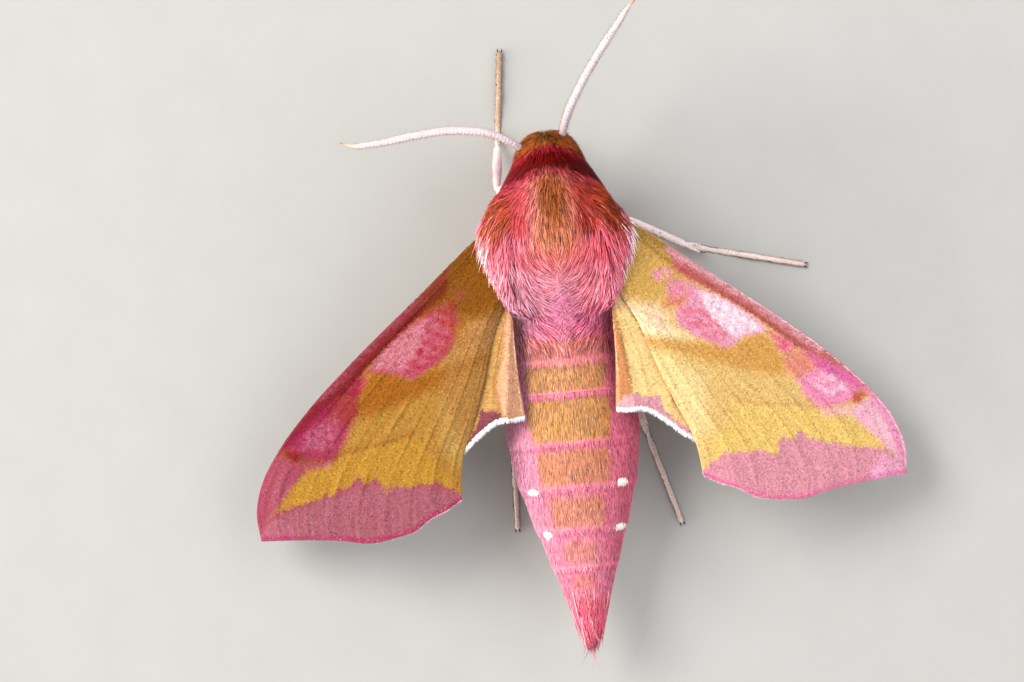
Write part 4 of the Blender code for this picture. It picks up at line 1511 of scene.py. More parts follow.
    def tail_brush(self, rng: Rng) -> Shell:
        """The brush at the tail's end: hairs from the last ring that draw together to a ragged point.

        Args:
            rng: Random draws.

        Returns:
            The hairs.
        """
        count, front = self.brush_hairs, self.trunk.share(self.brush_front)
        a = front + (0.997 - front) * rng.random(count) ** 0.8
        b = rng.random(count)
        points, normal, back, _ = self.trunk.frame(a, b)
        end = np.array(self.brush_end) + rng.normal(0, (0.22, 0.3, 0.15), (count, 3))
        reach = np.linalg.norm(end - points, axis=-1)
        long = np.arange(count) < self.long_brush_hairs
        past = reach * rng.uniform(1.12, 1.4, count)
        length = np.where(long, past, np.minimum(rng.uniform(0.9, 2.3, count), reach))
        rise = normal * np.where(long, 0.05, 0.1)[:, None]
        aim = unit(unit(end - points) + rise + rng.normal(0, 0.035, (count, 3)))
        tint = self.trunk.tint(points, a, b) * rng.uniform(0.7, 1.25, (count, 1))
        tint = np.where(rng.random((count, 1)) < 0.12, linear("#F8C4D0"), tint)
        tint = np.where(long[:, None], linear("#D9607C"), tint)
        spot = np.column_stack([b, (a - a.min()) / (a.max() - a.min())]) * 0.99
        return strands(points, aim, normal, length, np.full(count, 0.046), -0.12 * length, tint, spot)

    def palp(self, side: Side) -> Limb:
        """One upturned palp in front of the face.

        Args:
            side: Which one.

        Returns:
            Its form.
        """
        path = corners("0.62 4 3.95, 0.62 4.62 3.98, 0.58 4.92 4.55, 0.52 4.93 5.15")
        path = tuple((side.value * x, y, z) for x, y, z in path)
        radii = corners("0 0.38, 0.15 0.4, 0.6 0.36, 0.9 0.25, 1 0.06")
        return Limb(path, radii, ((0.0, "#E9A0A0"), (0.6, "#D9707A"), (1.0, "#C8703C")), under="#F3D9D2")

    def build(self, rng: Rng) -> None:
        """Makes the skin, coats, palps and tail brush.

        Args:
            rng: Random draws.
        """
        palps = [self.palp(side) for side in Side]
        skins = [self.trunk.skin(240, 140), *(palp.skin(30, 20) for palp in palps)]
        replaced = ["head", "collar", "thorax", "abdomen", "tail"]
        replaced += [part + side.word for part in ("tegula_", "palp_") for side in Side]
        make_piece("moth_skin", joined(skins), FUR_SKIN.material(), tuple(replaced))
        fur = FUR.material()
        for region in REGIONS:
            span = ((self.trunk.share(region.front), self.trunk.share(region.back)), region.around)
            grown = self.trunk.grow(region.coat, rng, span, keep=self.clear_of_eyes)
            make_piece(region.name, grown, fur)
        make_piece("loose_hairs", self.loose_hairs(rng), fur)
        make_piece("coat_tail", self.tail_brush(rng), fur)
        tiles = ((0.0, 0.0, 0.5, 1.0), (0.5, 0.0, 1.0, 1.0))
        coat = Coat(0.075, 0.3, 0.08, 0.08, 2)
        scales = [palp.grow(coat, rng, tile=tile) for palp, tile in zip(palps, tiles)]
        make_piece("coat_palps", joined(scales), fur)


@dataclass
class Head:
    """What the head carries bare: the eyes, the antennae and the coiled tongue, in mm."""

    eye_place: tuple[float, float, float] = (1.10, 4.05, 4.95)
    eye_radius: float = 0.85
    eye_aim: tuple[float, float, float] = (0.8, 0.45, -0.2)
    antennae: dict[Side, Points] = field(default_factory=lambda: {
        Side.LEFT: corners("-1.15 4.2 6.2, -1.7 4.68 6.75, -3.18 5.51 7.35, -5.32 5.89 7.45, "
                           "-7.5 5.8 7.4, -9.7 5.56 7.35, -11.2 5.56 7.3, -11.86 5.8 7.05"),
        Side.RIGHT: corners("0.78 4.3 5.7, 0.92 5.05 6.55, 1.47 6.48 7.95, 2.38 8 8.75, "
                            "3.41 9.45 9.5, 4.6 10.95 10.15, 5.45 12 10.45, 5.85 12.35 10.2"),
    })
    antenna_radii: Points = corners("0 0.15, 0.06 0.2, 0.3 0.235, 0.7 0.225, 0.88 0.17, 0.96 0.08, 1 0.03")
    antenna_joints: int = 54
    comb_places: tuple[float, ...] = (0.13, 0.18, 0.23, 0.27, 0.73, 0.77, 0.82, 0.87)
    tongue_turns: float = 2.2
    tongue_middle: tuple[float, float] = (4.75, 4.28)
    tongue_reach: tuple[float, float] = (0.48, 0.34)

    def antenna(self, side: Side) -> Limb:
        """One antenna: white scales above, brown cuticle below, and a brown hooked tip."""
        shades = ((0.0, "#D6C6CB"), (0.88, "#D8CAC9"), (0.96, "#C4A693"), (1.0, "#8A5A40"))
        return Limb(self.antennae[side], self.antenna_radii, shades, "#B98A66", self.antenna_joints, 0.16)

    def comb(self, antenna: Limb, rng: Rng, tile: Tile) -> Shell:
        """The comb below an antenna: a row of short bristles on either side of each joint.

        Args:
            antenna: What it grows on.
            rng: Random draws.
            tile: Its part of the bake map.

        Returns:
            The bristles.
        """
        joint = np.repeat(np.arange(2, self.antenna_joints - 4), len(self.comb_places))
        a = (joint + 0.75 + rng.normal(0, 0.12, len(joint))) / self.antenna_joints
        b = np.tile(self.comb_places, self.antenna_joints - 6) + rng.normal(0, 0.012, len(joint))
        points, normal, back, _ = antenna.frame(a, b)
        aim = unit(normal + unit(back) * 0.45 + rng.normal(0, 0.12, (len(joint), 3)))
        tint = linear("#9C7458") * rng.uniform(0.7, 1.3, (len(joint), 1))
        spot = np.column_stack([tile[0] + (tile[2] - tile[0]) * b, a]) * 0.99
        return strands(points - normal * 0.02, aim, unit(back), rng.uniform(0.10, 0.19, len(joint)),
                       np.full(len(joint), 0.022), np.full(len(joint), 0.02), tint, spot)

    def tongue(self) -> Limb:
        """The coiled tongue between the palps: a spiral that tightens inwards.

        Returns:
            Its form.
        """
        turn = np.linspace(0, 2 * self.tongue_turns * math.pi, 46)
        outermost, smaller = self.tongue_reach
        radius = outermost - smaller * turn / turn[-1]
        y, z = self.tongue_middle
        path = np.column_stack([0 * turn, y + radius * np.cos(turn + 2.4), z + radius * np.sin(turn + 2.4)])
        return Limb(tuple(map(tuple, path)), corners("0 0.09, 0.7 0.07, 1 0.03"),
                    ((0.0, "#8A5A2E"), (1.0, "#5E3A1E")), beads=60, bead_swell=0.12)

    def eye(self, side: Side) -> Limb:
        """One eye, as a stalk whose radius makes its outline a circle.

        Args:
            side: Which one.

        Returns:
            Its form.
        """
        x, y, z = self.eye_place
        aim_x, aim_y, aim_z = self.eye_aim
        out = unit(np.array((side.value * aim_x, aim_y, aim_z)))
        share = np.linspace(-1, 1, 9)
        path = np.array((side.value * x, y, z)) + out * self.eye_radius * share[:, None]
        share = (1 - np.cos(np.linspace(0, math.pi, 33))) / 2
        radii = ((float(s), self.eye_radius * math.sqrt(max(1 - (2 * s - 1) ** 2, 1e-6))) for s in share)
        shades = ((0.0, "#3A2A1E"), (0.5, "#4A3424"), (1.0, "#2A1C14"))
        return Limb(tuple(map(tuple, path)), tuple(radii), shades)

    def build(self, rng: Rng) -> None:
        """Makes the eyes, the antennae with their scales and combs, and the tongue.

        Args:
            rng: Random draws.
        """
        scales = []
        pale = PALE_SCALES.material()
        coat = Coat(0.055, 0.16, 0.09, 0.02, 1, Growth.SCALE, pale=0.1, dark=0.01, shade=0.07, mix=0.02,
                    ridge=0.12)
        for number, side in enumerate(Side):
            eye, antenna = self.eye(side), self.antenna(side)
            eye_node, antenna_node = "eye_" + side.word, "antenna_" + side.word
            make_piece("eye_ball_" + side.word, eye.skin(40, 48), EyeFinish().material(), (eye_node,))
            stalk = antenna.skin(330, 16)
            make_piece("antenna_stalk_" + side.word, stalk, pale, (antenna_node,))
            tile = (number * 0.5, 0.0, number * 0.5 + 0.5, 1.0)
            scales.append(antenna.grow(coat, rng, ((0.02, 0.9), (0.3, 0.7)), tile))
            scales.append(self.comb(antenna, rng, tile))
        make_piece("antenna_scales", joined(scales), pale)
        make_piece("tongue", self.tongue().skin(240, 12), CHITIN.material())


# Each wing's leading, outer and inner edge, then its veins.
FORE_OUTLINE = (
    corners("2.9 0.7, 4.7 -0.55, 8.3 -3.4, 12.4 -6.65, 15.3 -9.2, 17.3 -11.4, 18.4 -13.1, 18.9 -14.8, "
            "18.8 -16.4"),
    corners("18.8 -16.4, 17 -16.5, 14.1 -16.8, 12.5 -17.1, 10.8 -16.9, 9.8 -16.65, 8.9 -16.05, "
            "7.8 -15.6, 6.95 -15.1"),
    corners("2.9 -3.6, 4 -5.6, 5 -8.6, 5.85 -10.9, 6.6 -12.7, 6.85 -13.9, 6.95 -15.1"),
    corners("0.1 0, 0.24 0.35, 0.36 0.4, 0.48 0.4, 0.6 0.4, 0.72 0.2, 0.84 0.1, 0.95 0"),
)
HIND_OUTLINE = (
    corners("2.9 -1.6, 4.6 -2.5, 7.5 -4.7, 10.4 -7.5, 12.6 -10.2, 13.5 -12.2, 13.2 -13.6"),
    corners("13.2 -13.6, 11.4 -14.2, 9 -13.7, 6.5 -12.4, 5.6 -11.62, 4.9 -11.1, 4.2 -10.8, "
            "3.4 -10.82, 2.75 -10.7"),
    corners("2.95 -4.4, 2.95 -6.4, 2.9 -8.6, 2.8 -10, 2.75 -10.7"),
    corners("0.12 0, 0.28 0.35, 0.42 0.35, 0.56 0.35, 0.7 0.1, 0.84 0"),
)
FORE_MARKINGS = (
    # mustard root, cream by the inner edge, an ochre band across the middle, and a lighter outer part
    patch("2 2, 7 -1, 8.4 -4.2, 6.4 -4.6, 5.2 -4.9, 4.2 -5, 2 -3", "#C59B53", 0.8),
    patch("2.6 -4.4, 3.9 -4.9, 5.4 -5.3, 6.1 -6.5, 7.2 -7.3, 5.7 -7.1, 3.7 -6.8, 2.9 -6.7",
          "#EBD4A6", 0.4),
    patch("3.2 -4.5, 4.4 -4.9, 5.8 -5.4, 6.3 -6.6, 5.2 -6.7, 3.4 -5.6", "#E3A896", 0.4, 0.6, fleck=0.8),
    patch("11.3 -7.35, 11.8 -8, 12.5 -9.2, 12.2 -10, 10.6 -9.6, 8.6 -8.9, 6.6 -8.1, 4.4 -7.3, 4.3 -6.8, "
          "6.2 -7.3, 8.2 -7.7, 9.6 -7.95, 10.3 -7.5", "#C68F48", 0.4, 0.85),
    patch("3.9 -7.4, 5.6 -8.1, 7.6 -9.5, 7.6 -12.4, 6.6 -13.4, 5.6 -10.6", "#E4CA91", 0.6, 0.8),
    patch("9.3 -11.2, 12.2 -11.8, 14 -12.2, 15.7 -12.8, 18 -15, 11.4 -14.4, 7 -14.8", "#DDB867", 0.3, 0.8),
    patch("9.3 -11.1, 11 -11.5, 13.2 -11.8, 14.7 -12.1, 15.6 -12.05, 16.3 -11.95, 16.8 -11.6",
          "#BA854C", 0.12, 0.5, 0.09),
    # pink patches behind the leading edge
    patch("5.15 -3.13, 5.51 -3.02, 6.03 -3.08, 6.47 -3.36, 6.39 -3.6, 5.9 -3.7, 5.54 -3.85, 5.25 -3.6",
          "#D78BA1", 0.12, 0.95, fleck=0.7),
    patch("5.9 -3.9, 6.59 -3.75, 7.21 -3.95, 7.7 -4.22, 7.6 -4.9, 7.1 -5.1, 6.5 -5.3, 6.1 -5.05",
          "#D67E9D", 0.16, 0.95, fleck=0.35),
    patch("5.6 -4.9, 6.3 -4.8, 6.9 -4.8, 7.5 -4.78, 7.3 -5.25, 6.6 -5.5, 5.8 -5.4",
          "#CA7552", 0.25, 0.75, fleck=0.4),
    patch("7.4 -4.3, 8.6 -4.85, 9.5 -5.4, 10.35 -6.05, 11.2 -6.8, 11.55 -7.3, 10.7 -7.45, 9.95 -7.55, "
          "9.54 -7.9, 9 -8.04, 8.23 -7.6, 7.34 -7.16, 6.58 -6.61, 6.25 -5.87, 6.5 -5.43, 7.1 -5.2",
          "#D994A6", 0.12),
    patch("6.5 -5.5, 7.6 -5.3, 8.6 -6.2, 9.2 -7.2, 9 -7.9, 7.6 -7.2, 6.6 -6.4",
          "#D36D82", 0.25, 0.85, fleck=0.9),
    patch("7.8 -4.6, 8.93 -5.1, 9.9 -5.8, 10.6 -6.45, 11.3 -7.2, 10.3 -7.3, 9.6 -7.5, 9 -6.9, 8.3 -6",
          "#F6D9E1", 0.2, 0.95, fleck=0.55),
    # leading edge: olive at the root, brown red outwards, with a paler rim and a magenta end
    patch("4.2 -0.7, 5.55 -2.07, 6.51 -2.93, 7.3 -3.6", "#835624", 0.15, 0.6, 0.12),
    patch("6.2 -1.6, 8.5 -3.3, 12.6 -6.5, 15.5 -9, 17.5 -11.2, 17.3 -11.5, 16.8 -11.2, 15.2 -9.85, "
          "13.1 -8.4, 11.6 -7, 10.3 -5.95, 9 -5, 7.8 -4.2, 6.6 -3.3", "#B4565E", 0.15, 0.9),
    patch("6.4 -2.1, 8.42 -3.65, 10.57 -5.25, 12.7 -7.05, 14.5 -8.6",
          "#E2B2B2", 0.2, 0.7, 0.25, fleck=0.95),
    patch("7 -3.3, 9 -4.75, 10.6 -6, 12 -7.25, 13.6 -8.6", "#8E3A34", 0.12, 0.5, 0.09, fleck=0.4),
    patch("3.4 0.3, 5.2 -1.15, 6.4 -2.15", "#8D6B35", 0.2, 0.8, 0.22),
    patch("6.4 -2.1, 8.42 -3.6, 10.57 -5.2, 12.7 -6.95, 15.4 -9.1, 17.4 -11.3, 18.5 -13.2, 19 -15.4",
          "#D694A4", 0.15, 0.8, 0.2, fleck=0.5),
    patch("11.6 -7.3, 12.5 -7.8, 13.1 -8.5, 12.7 -8.75, 12.1 -8.55", "#DB5487", 0.2, 0.9, fleck=0.4),
    patch("12.4 -8.8, 13.47 -8.6, 14.6 -9, 14.8 -9.7, 13.93 -10, 12.96 -10.35, 12.4 -9.6",
          "#D67772", 0.3, 0.8),
    patch("13 -10.3, 14.17 -9.75, 14.87 -9.6, 15.98 -10.2, 16.75 -11, 16.3 -11.74, 15.57 -12.01, "
          "14.38 -12.18, 13.84 -11.77, 13.3 -11.1", "#DF84A3", 0.3),
    patch("13.6 -10.5, 14.8 -9.9, 15.8 -10.6, 16 -11.4, 14.6 -11.5", "#F2C4D3", 0.3, 0.6, fleck=0.9),
    patch("13.6 -8.75, 15.34 -9.75, 16.42 -10.6, 16.9 -11.27, 16.37 -11.15, 15.29 -10.35, 14.2 -9.7",
          "#D6629A", 0.2, 0.85),
    patch("16.2 -11.5, 16.85 -11.3, 17 -11.64, 16.4 -12.05, 16.05 -11.9", "#C05040", 0.2, 0.9),
    patch("14.26 -12.22, 16.25 -12.15, 16.45 -12.52, 16.08 -12.71, 14.34 -12.58", "#E5ABAB", 0.2, 0.8),
    # tip and outer band
    patch("16.06 -12.36, 16.74 -11.96, 17.4 -11.7, 18.2 -12.3, 18.9 -13.6, 19.6 -16.6, 18.9 -15.9, "
          "18.3 -15.2, 17.74 -14.6, 17.12 -13.87, 16.59 -13.35, 16.18 -12.84", "#E7A6B8", 0.12),
    patch("17 -12.6, 17.7 -12.9, 18.3 -14.2, 18.1 -14.7, 17.3 -13.6", "#ECC6C5", 0.3, 0.6, fleck=0.5),
    patch("6.5 -15.3, 6.9 -14.9, 7.34 -14.55, 8.06 -14.24, 8.3 -13.9, 8.94 -14.14, 9.46 -14, "
          "9.9 -14.25, 10.5 -14.1, 11.2 -14.5, 11.45 -14.45, 11.5 -13.75, 11.85 -13.5, 12.25 -13.75, "
          "12.85 -13.25, 13.15 -13.6, 13.75 -13.95, 15.3 -14.35, 17.15 -14.7, 17.85 -14.9, 18.5 -15.45, "
          "19.2 -16.3, 19.6 -17.5, 6 -18.5", "#CC8994", 0.04, teeth=0.22),
    patch("16.6 -16.3, 17.6 -15.3, 18.6 -15.6, 19.4 -16.6, 17 -17", "#E5A2BD", 0.3, 0.8),
    patch("2 2, 7 -1, 8.4 -4.2, 6.4 -4.6, 5.2 -4.9, 4.2 -5, 2 -3", "#B08040", 0.5, 0.75, only=Side.LEFT),
    patch("2.6 -4.2, 4.2 -4.7, 6.3 -5.4, 7.2 -7.3, 7.6 -9.5, 6.6 -12.4, 5.4 -10.6, 3 -7",
          "#D2A873", 0.7, 0.75, only=Side.LEFT),
    patch("12 -7.5, 14.5 -8.7, 17.6 -11.4, 19 -13.6, 19.6 -16.6, 18.6 -15.6, 16.8 -13.5, 15.8 -12.7, "
          "14 -12.3, 13.2 -10.6, 12.4 -9.6", "#B04C68", 0.25, 0.55, only=Side.LEFT),
    patch("6.2 -3.8, 7.7 -4.2, 9.5 -5.4, 11.5 -7.3, 9.4 -7.9, 7.2 -7.1, 6.3 -5.9",
          "#CE5A68", 0.25, 0.5, only=Side.LEFT),
    patch("6.6 -3.9, 8.6 -4.9, 11.3 -7.2, 9.4 -7.8, 7.4 -6.9, 6.6 -5.6",
          "#EFBCC8", 0.3, 0.35, fleck=1.0, only=Side.LEFT),
    patch("13.4 -9.4, 15.4 -10.2, 15.9 -11.4, 14 -11.6", "#E0A0B4", 0.3, 0.5, fleck=1.0, only=Side.LEFT),
    patch("6.2 -1.6, 12.6 -6.5, 17.5 -11.2, 16.8 -11.2, 13.1 -8.4, 10.3 -5.95, 6.6 -3.3",
          "#9A3C50", 0.2, 0.45, only=Side.LEFT),
    patch("6.5 -15.1, 9 -14.3, 12 -13.9, 15.3 -14.5, 18.3 -15.5, 19.6 -17.5, 6 -18.5",
          "#CE97A2", 0.2, 0.7, only=Side.LEFT),
    patch("16.9 -11, 17.8 -12.3, 18.5 -13.9, 18.9 -15.6", "#E07AA8", 0.2, 0.6, 0.2, only=Side.RIGHT),
    patch("19.1 -16.35, 17.1 -16.45, 14.2 -16.75, 12.6 -17.05, 10.85 -16.85, 9.85 -16.6, 8.92 -16, "
          "7.82 -15.55, 6.97 -15.05", "#DE5C9A", 0.07, 0.8, 0.09),
)
HIND_EDGE = corners("4.6 -10.3, 5.25 -10.2, 5.5 -10.95, 6 -11.6, 6.6 -12.1, 9 -13, 11.4 -13.4, "
                    "13.6 -13, 13.6 -15, 6 -15, 2.5 -12")
HIND_MARKINGS = (
    # The right hind wing's inner strip: tan from the brown hair by the body, darkened as painted shade where
    # the strip slopes down to it.
    patch("2 -3, 2.9 -4.4, 3.06 -5.2, 3.46 -7.6, 3.64 -9.2, 3.75 -10.2, 3.3 -10.6, 2.7 -11.3, 2 -11.3",
          "#A8744B", 0.1, only=Side.RIGHT),
    patch("2.75 -5, 2.85 -7, 2.85 -9, 2.85 -11", "#D6A578", 0.2, 0.7, 0.12, only=Side.RIGHT),
    # Painted shade: a dark line along the right hind wing's fold.
    patch("3.06 -5.2, 3.44 -7.6, 3.6 -9.2, 3.7 -10.2", "#8A5420", 0.16, 0.6, 0.08, only=Side.RIGHT),
    # Painted shade: the left hind wing's darker ground.
    patch("2 0, 16 0, 16 -16, 2 -16", "#B48A50", 0.1, only=Side.LEFT),
    # Painted light: the paler colour of the left hind wing's inner strip, which slopes towards the light.
    patch("2 -3, 3.2 -4.8, 3.55 -5.8, 3.75 -7.1, 4.3 -9, 4.15 -10.4, 3.4 -11, 2 -11.3",
          "#CE9878", 0.15, only=Side.LEFT),
    # Painted shade: a dark line along the left hind wing's fold.
    patch("3.45 -5.8, 3.72 -7.1, 4.3 -9, 4.1 -10.3", "#96662F", 0.14, 0.7, 0.1, only=Side.LEFT),
    Marking(((2.95, -10.55), (3.3, -10.15), (4.0, -10.0), *HIND_EDGE),
            "#C98F97", 0.08, teeth=0.12, only=Side.RIGHT),
    # Painted shade: the left hind wing's darker pink edge.
    Marking(((4.05, -11.6), (4.1, -10.3), *HIND_EDGE[:-1]), "#7A4048", 0.08, teeth=0.12, only=Side.LEFT),
)


@dataclass
class Wings:
    """The four wings: membranes, their scales on both faces, and the fringes along their edges."""

    fore_coat: Coat = Coat(0.080, 0.24, 0.11, 0.016, 1, Growth.SCALE, 0.08, 0.0, 0.08, 0.16, 0.05, 0.10, 0.2)
    hind_coat: Coat = Coat(0.105, 0.27, 0.17, 0.016, 1, Growth.SCALE, 0.06, 0.0, 0.05, 0.13, 0.04, 0.08, 0.2)
    under_coat: Coat = Coat(0.16, 0.38, 0.28, 0.02, 1, Growth.SCALE, 0.06, 0.01, 0.02, 0.10, 0.05, 0.08, 0.1)
    # Hairs of the leading edge, at the root and further out; the left ones are darker, which is painted
    # shade.
    costal_hairs: dict[Side, tuple[str, str]] = field(default_factory=lambda: {
        Side.LEFT: ("#8E602E", "#A83E58"),
        Side.RIGHT: ("#B78A4C", "#EBC2C4"),
    })

    def fore(self, side: Side, facing: float = 1.0) -> Wing:
        """One front wing, as its upper face or, facing -1, its lower one."""
        return Wing("forewing", side, *FORE_OUTLINE, "#D5B06E", FORE_MARKINGS, facing=facing)

    def hind(self, side: Side, facing: float = 1.0) -> Wing:
        """One hind wing, as its upper face or, facing -1, its lower one."""
        sweep = math.radians(-1.0 if side is Side.RIGHT else 0.2)
        return Wing("hindwing", side, *HIND_OUTLINE, "#E6C284", HIND_MARKINGS, True, facing, sweep=sweep)

    def fringe(self, wing: Wing, rng: Rng, count: int, length: float, root: str,
               tip: str) -> Shell:
        """Hair scales along the outer edge, which leave it in line with the wing.

        Args:
            wing: What they grow on.
            rng: Random draws.
            count: How many there are.
            length: Their mean length in mm.
            root: Their darkest colour.
            tip: Their palest colour.

        Returns:
            The hairs.
        """
        b = (np.arange(count) + rng.random(count)) / count
        a = np.full(count, 0.985) + rng.uniform(-0.012, 0.005, count)
        points, normal, back, _ = wing.frame(a, b)
        aim = unit(unit(back) + rng.normal(0, 0.09, (count, 3)) * (1, 1, 0.4))
        tint = linear(root) + (linear(tip) - linear(root)) * (0.35 + 0.65 * rng.random((count, 1)))
        spot = np.column_stack([b, 0 * b + 0.5])
        return strands(points - normal * 0.04, aim, normal, length * rng.uniform(0.75, 1.2, count),
                       np.full(count, 0.045), rng.uniform(-0.03, 0.02, count), tint, spot)

    def edge_hairs(self, wing: Wing, rng: Rng, b: float, out: float, count: int,
                   colours: tuple[str, str]) -> Shell:
        """Fine hairs along the leading or the inner edge, leaning out from it.

        Args:
            wing: What they grow on.
            rng: Random draws.
            b: The share of the way across at which they stand.
            out: How far they lean out.
            count: How many there are.
            colours: Their colours at the root and further out.

        Returns:
            The hairs.
        """
        a = rng.uniform(0.03, 0.97, count)
        points, normal, back, side = wing.frame(a, np.full(count, b))
        aside = unit(side) * (-1 if b < 0.5 else 1)
        outwards = aside * out * rng.uniform(0.2, 1.0, (count, 1))
        aim = unit(unit(back) + outwards + normal * rng.uniform(-0.05, 0.3, (count, 1)))
        share = ease(0.15, 0.45, a)[:, None]
        tint = linear(colours[0]) + (linear(colours[1]) - linear(colours[0])) * share
        tint = tint * rng.uniform(0.75, 1.2, (count, 1))
        spot = np.column_stack([a, 0 * a + 0.5])
        upward = np.broadcast_to((0.0, 0.0, wing.facing), points.shape)
        return strands(points - normal * 0.03, aim, upward, rng.uniform(0.25, 0.5, count),
                       np.full(count, 0.035), np.zeros(count), tint, spot)

    def edges(self, wing: Wing, rng: Rng) -> list[Shell]:
        """A wing's fringe, then the hairs of its inner edge if it is a hind wing, or of its leading edge.

        Args:
            wing: Which one.
            rng: Random draws.

        Returns:
            The fringe and the hairs.
        """
        if wing.hind:
            fringe = self.fringe(wing, rng, 1500, 0.4, "#FFF8F6", "#FFFFFF")
            return [fringe, self.edge_hairs(wing, rng, 0.985, 0.3, 160, ("#D9A878", "#E8CBA8"))]
        fringe = self.fringe(wing, rng, 1100, 0.26, "#D8649A", "#F8D6DE")
        return [fringe, self.edge_hairs(wing, rng, 0.012, 0.35, 450, self.costal_hairs[wing.side])]

    def build(self, rng: Rng) -> None:
        """Makes the membranes, scales and fringes of all four wings.

        Args:
            rng: Random draws.
        """
        membrane, scales = MEMBRANE.material(), WING_SCALES.material()
        for side in Side:
            for maker, rows, columns, coat in ((self.fore, 104, 92, self.fore_coat),
                                               (self.hind, 72, 64, self.hind_coat)):
                upper, lower = maker(side), maker(side, -1.0)
                name = upper.name + "_" + side.word
                sheet = upper.both_faces(rows, columns)
                make_piece("membrane_" + name, sheet, membrane, (name,))
                edges = self.edges(upper, rng)
                top = upper.grow(coat, rng, ((0.02, 0.985), (0.006, 0.994)))
                make_piece("scales_" + name, joined([top, *edges]), scales)
                under = lower.grow(self.under_coat, rng, ((0.03, 0.96), (0.03, 0.97)))
                make_piece("underscales_" + name, under, scales)


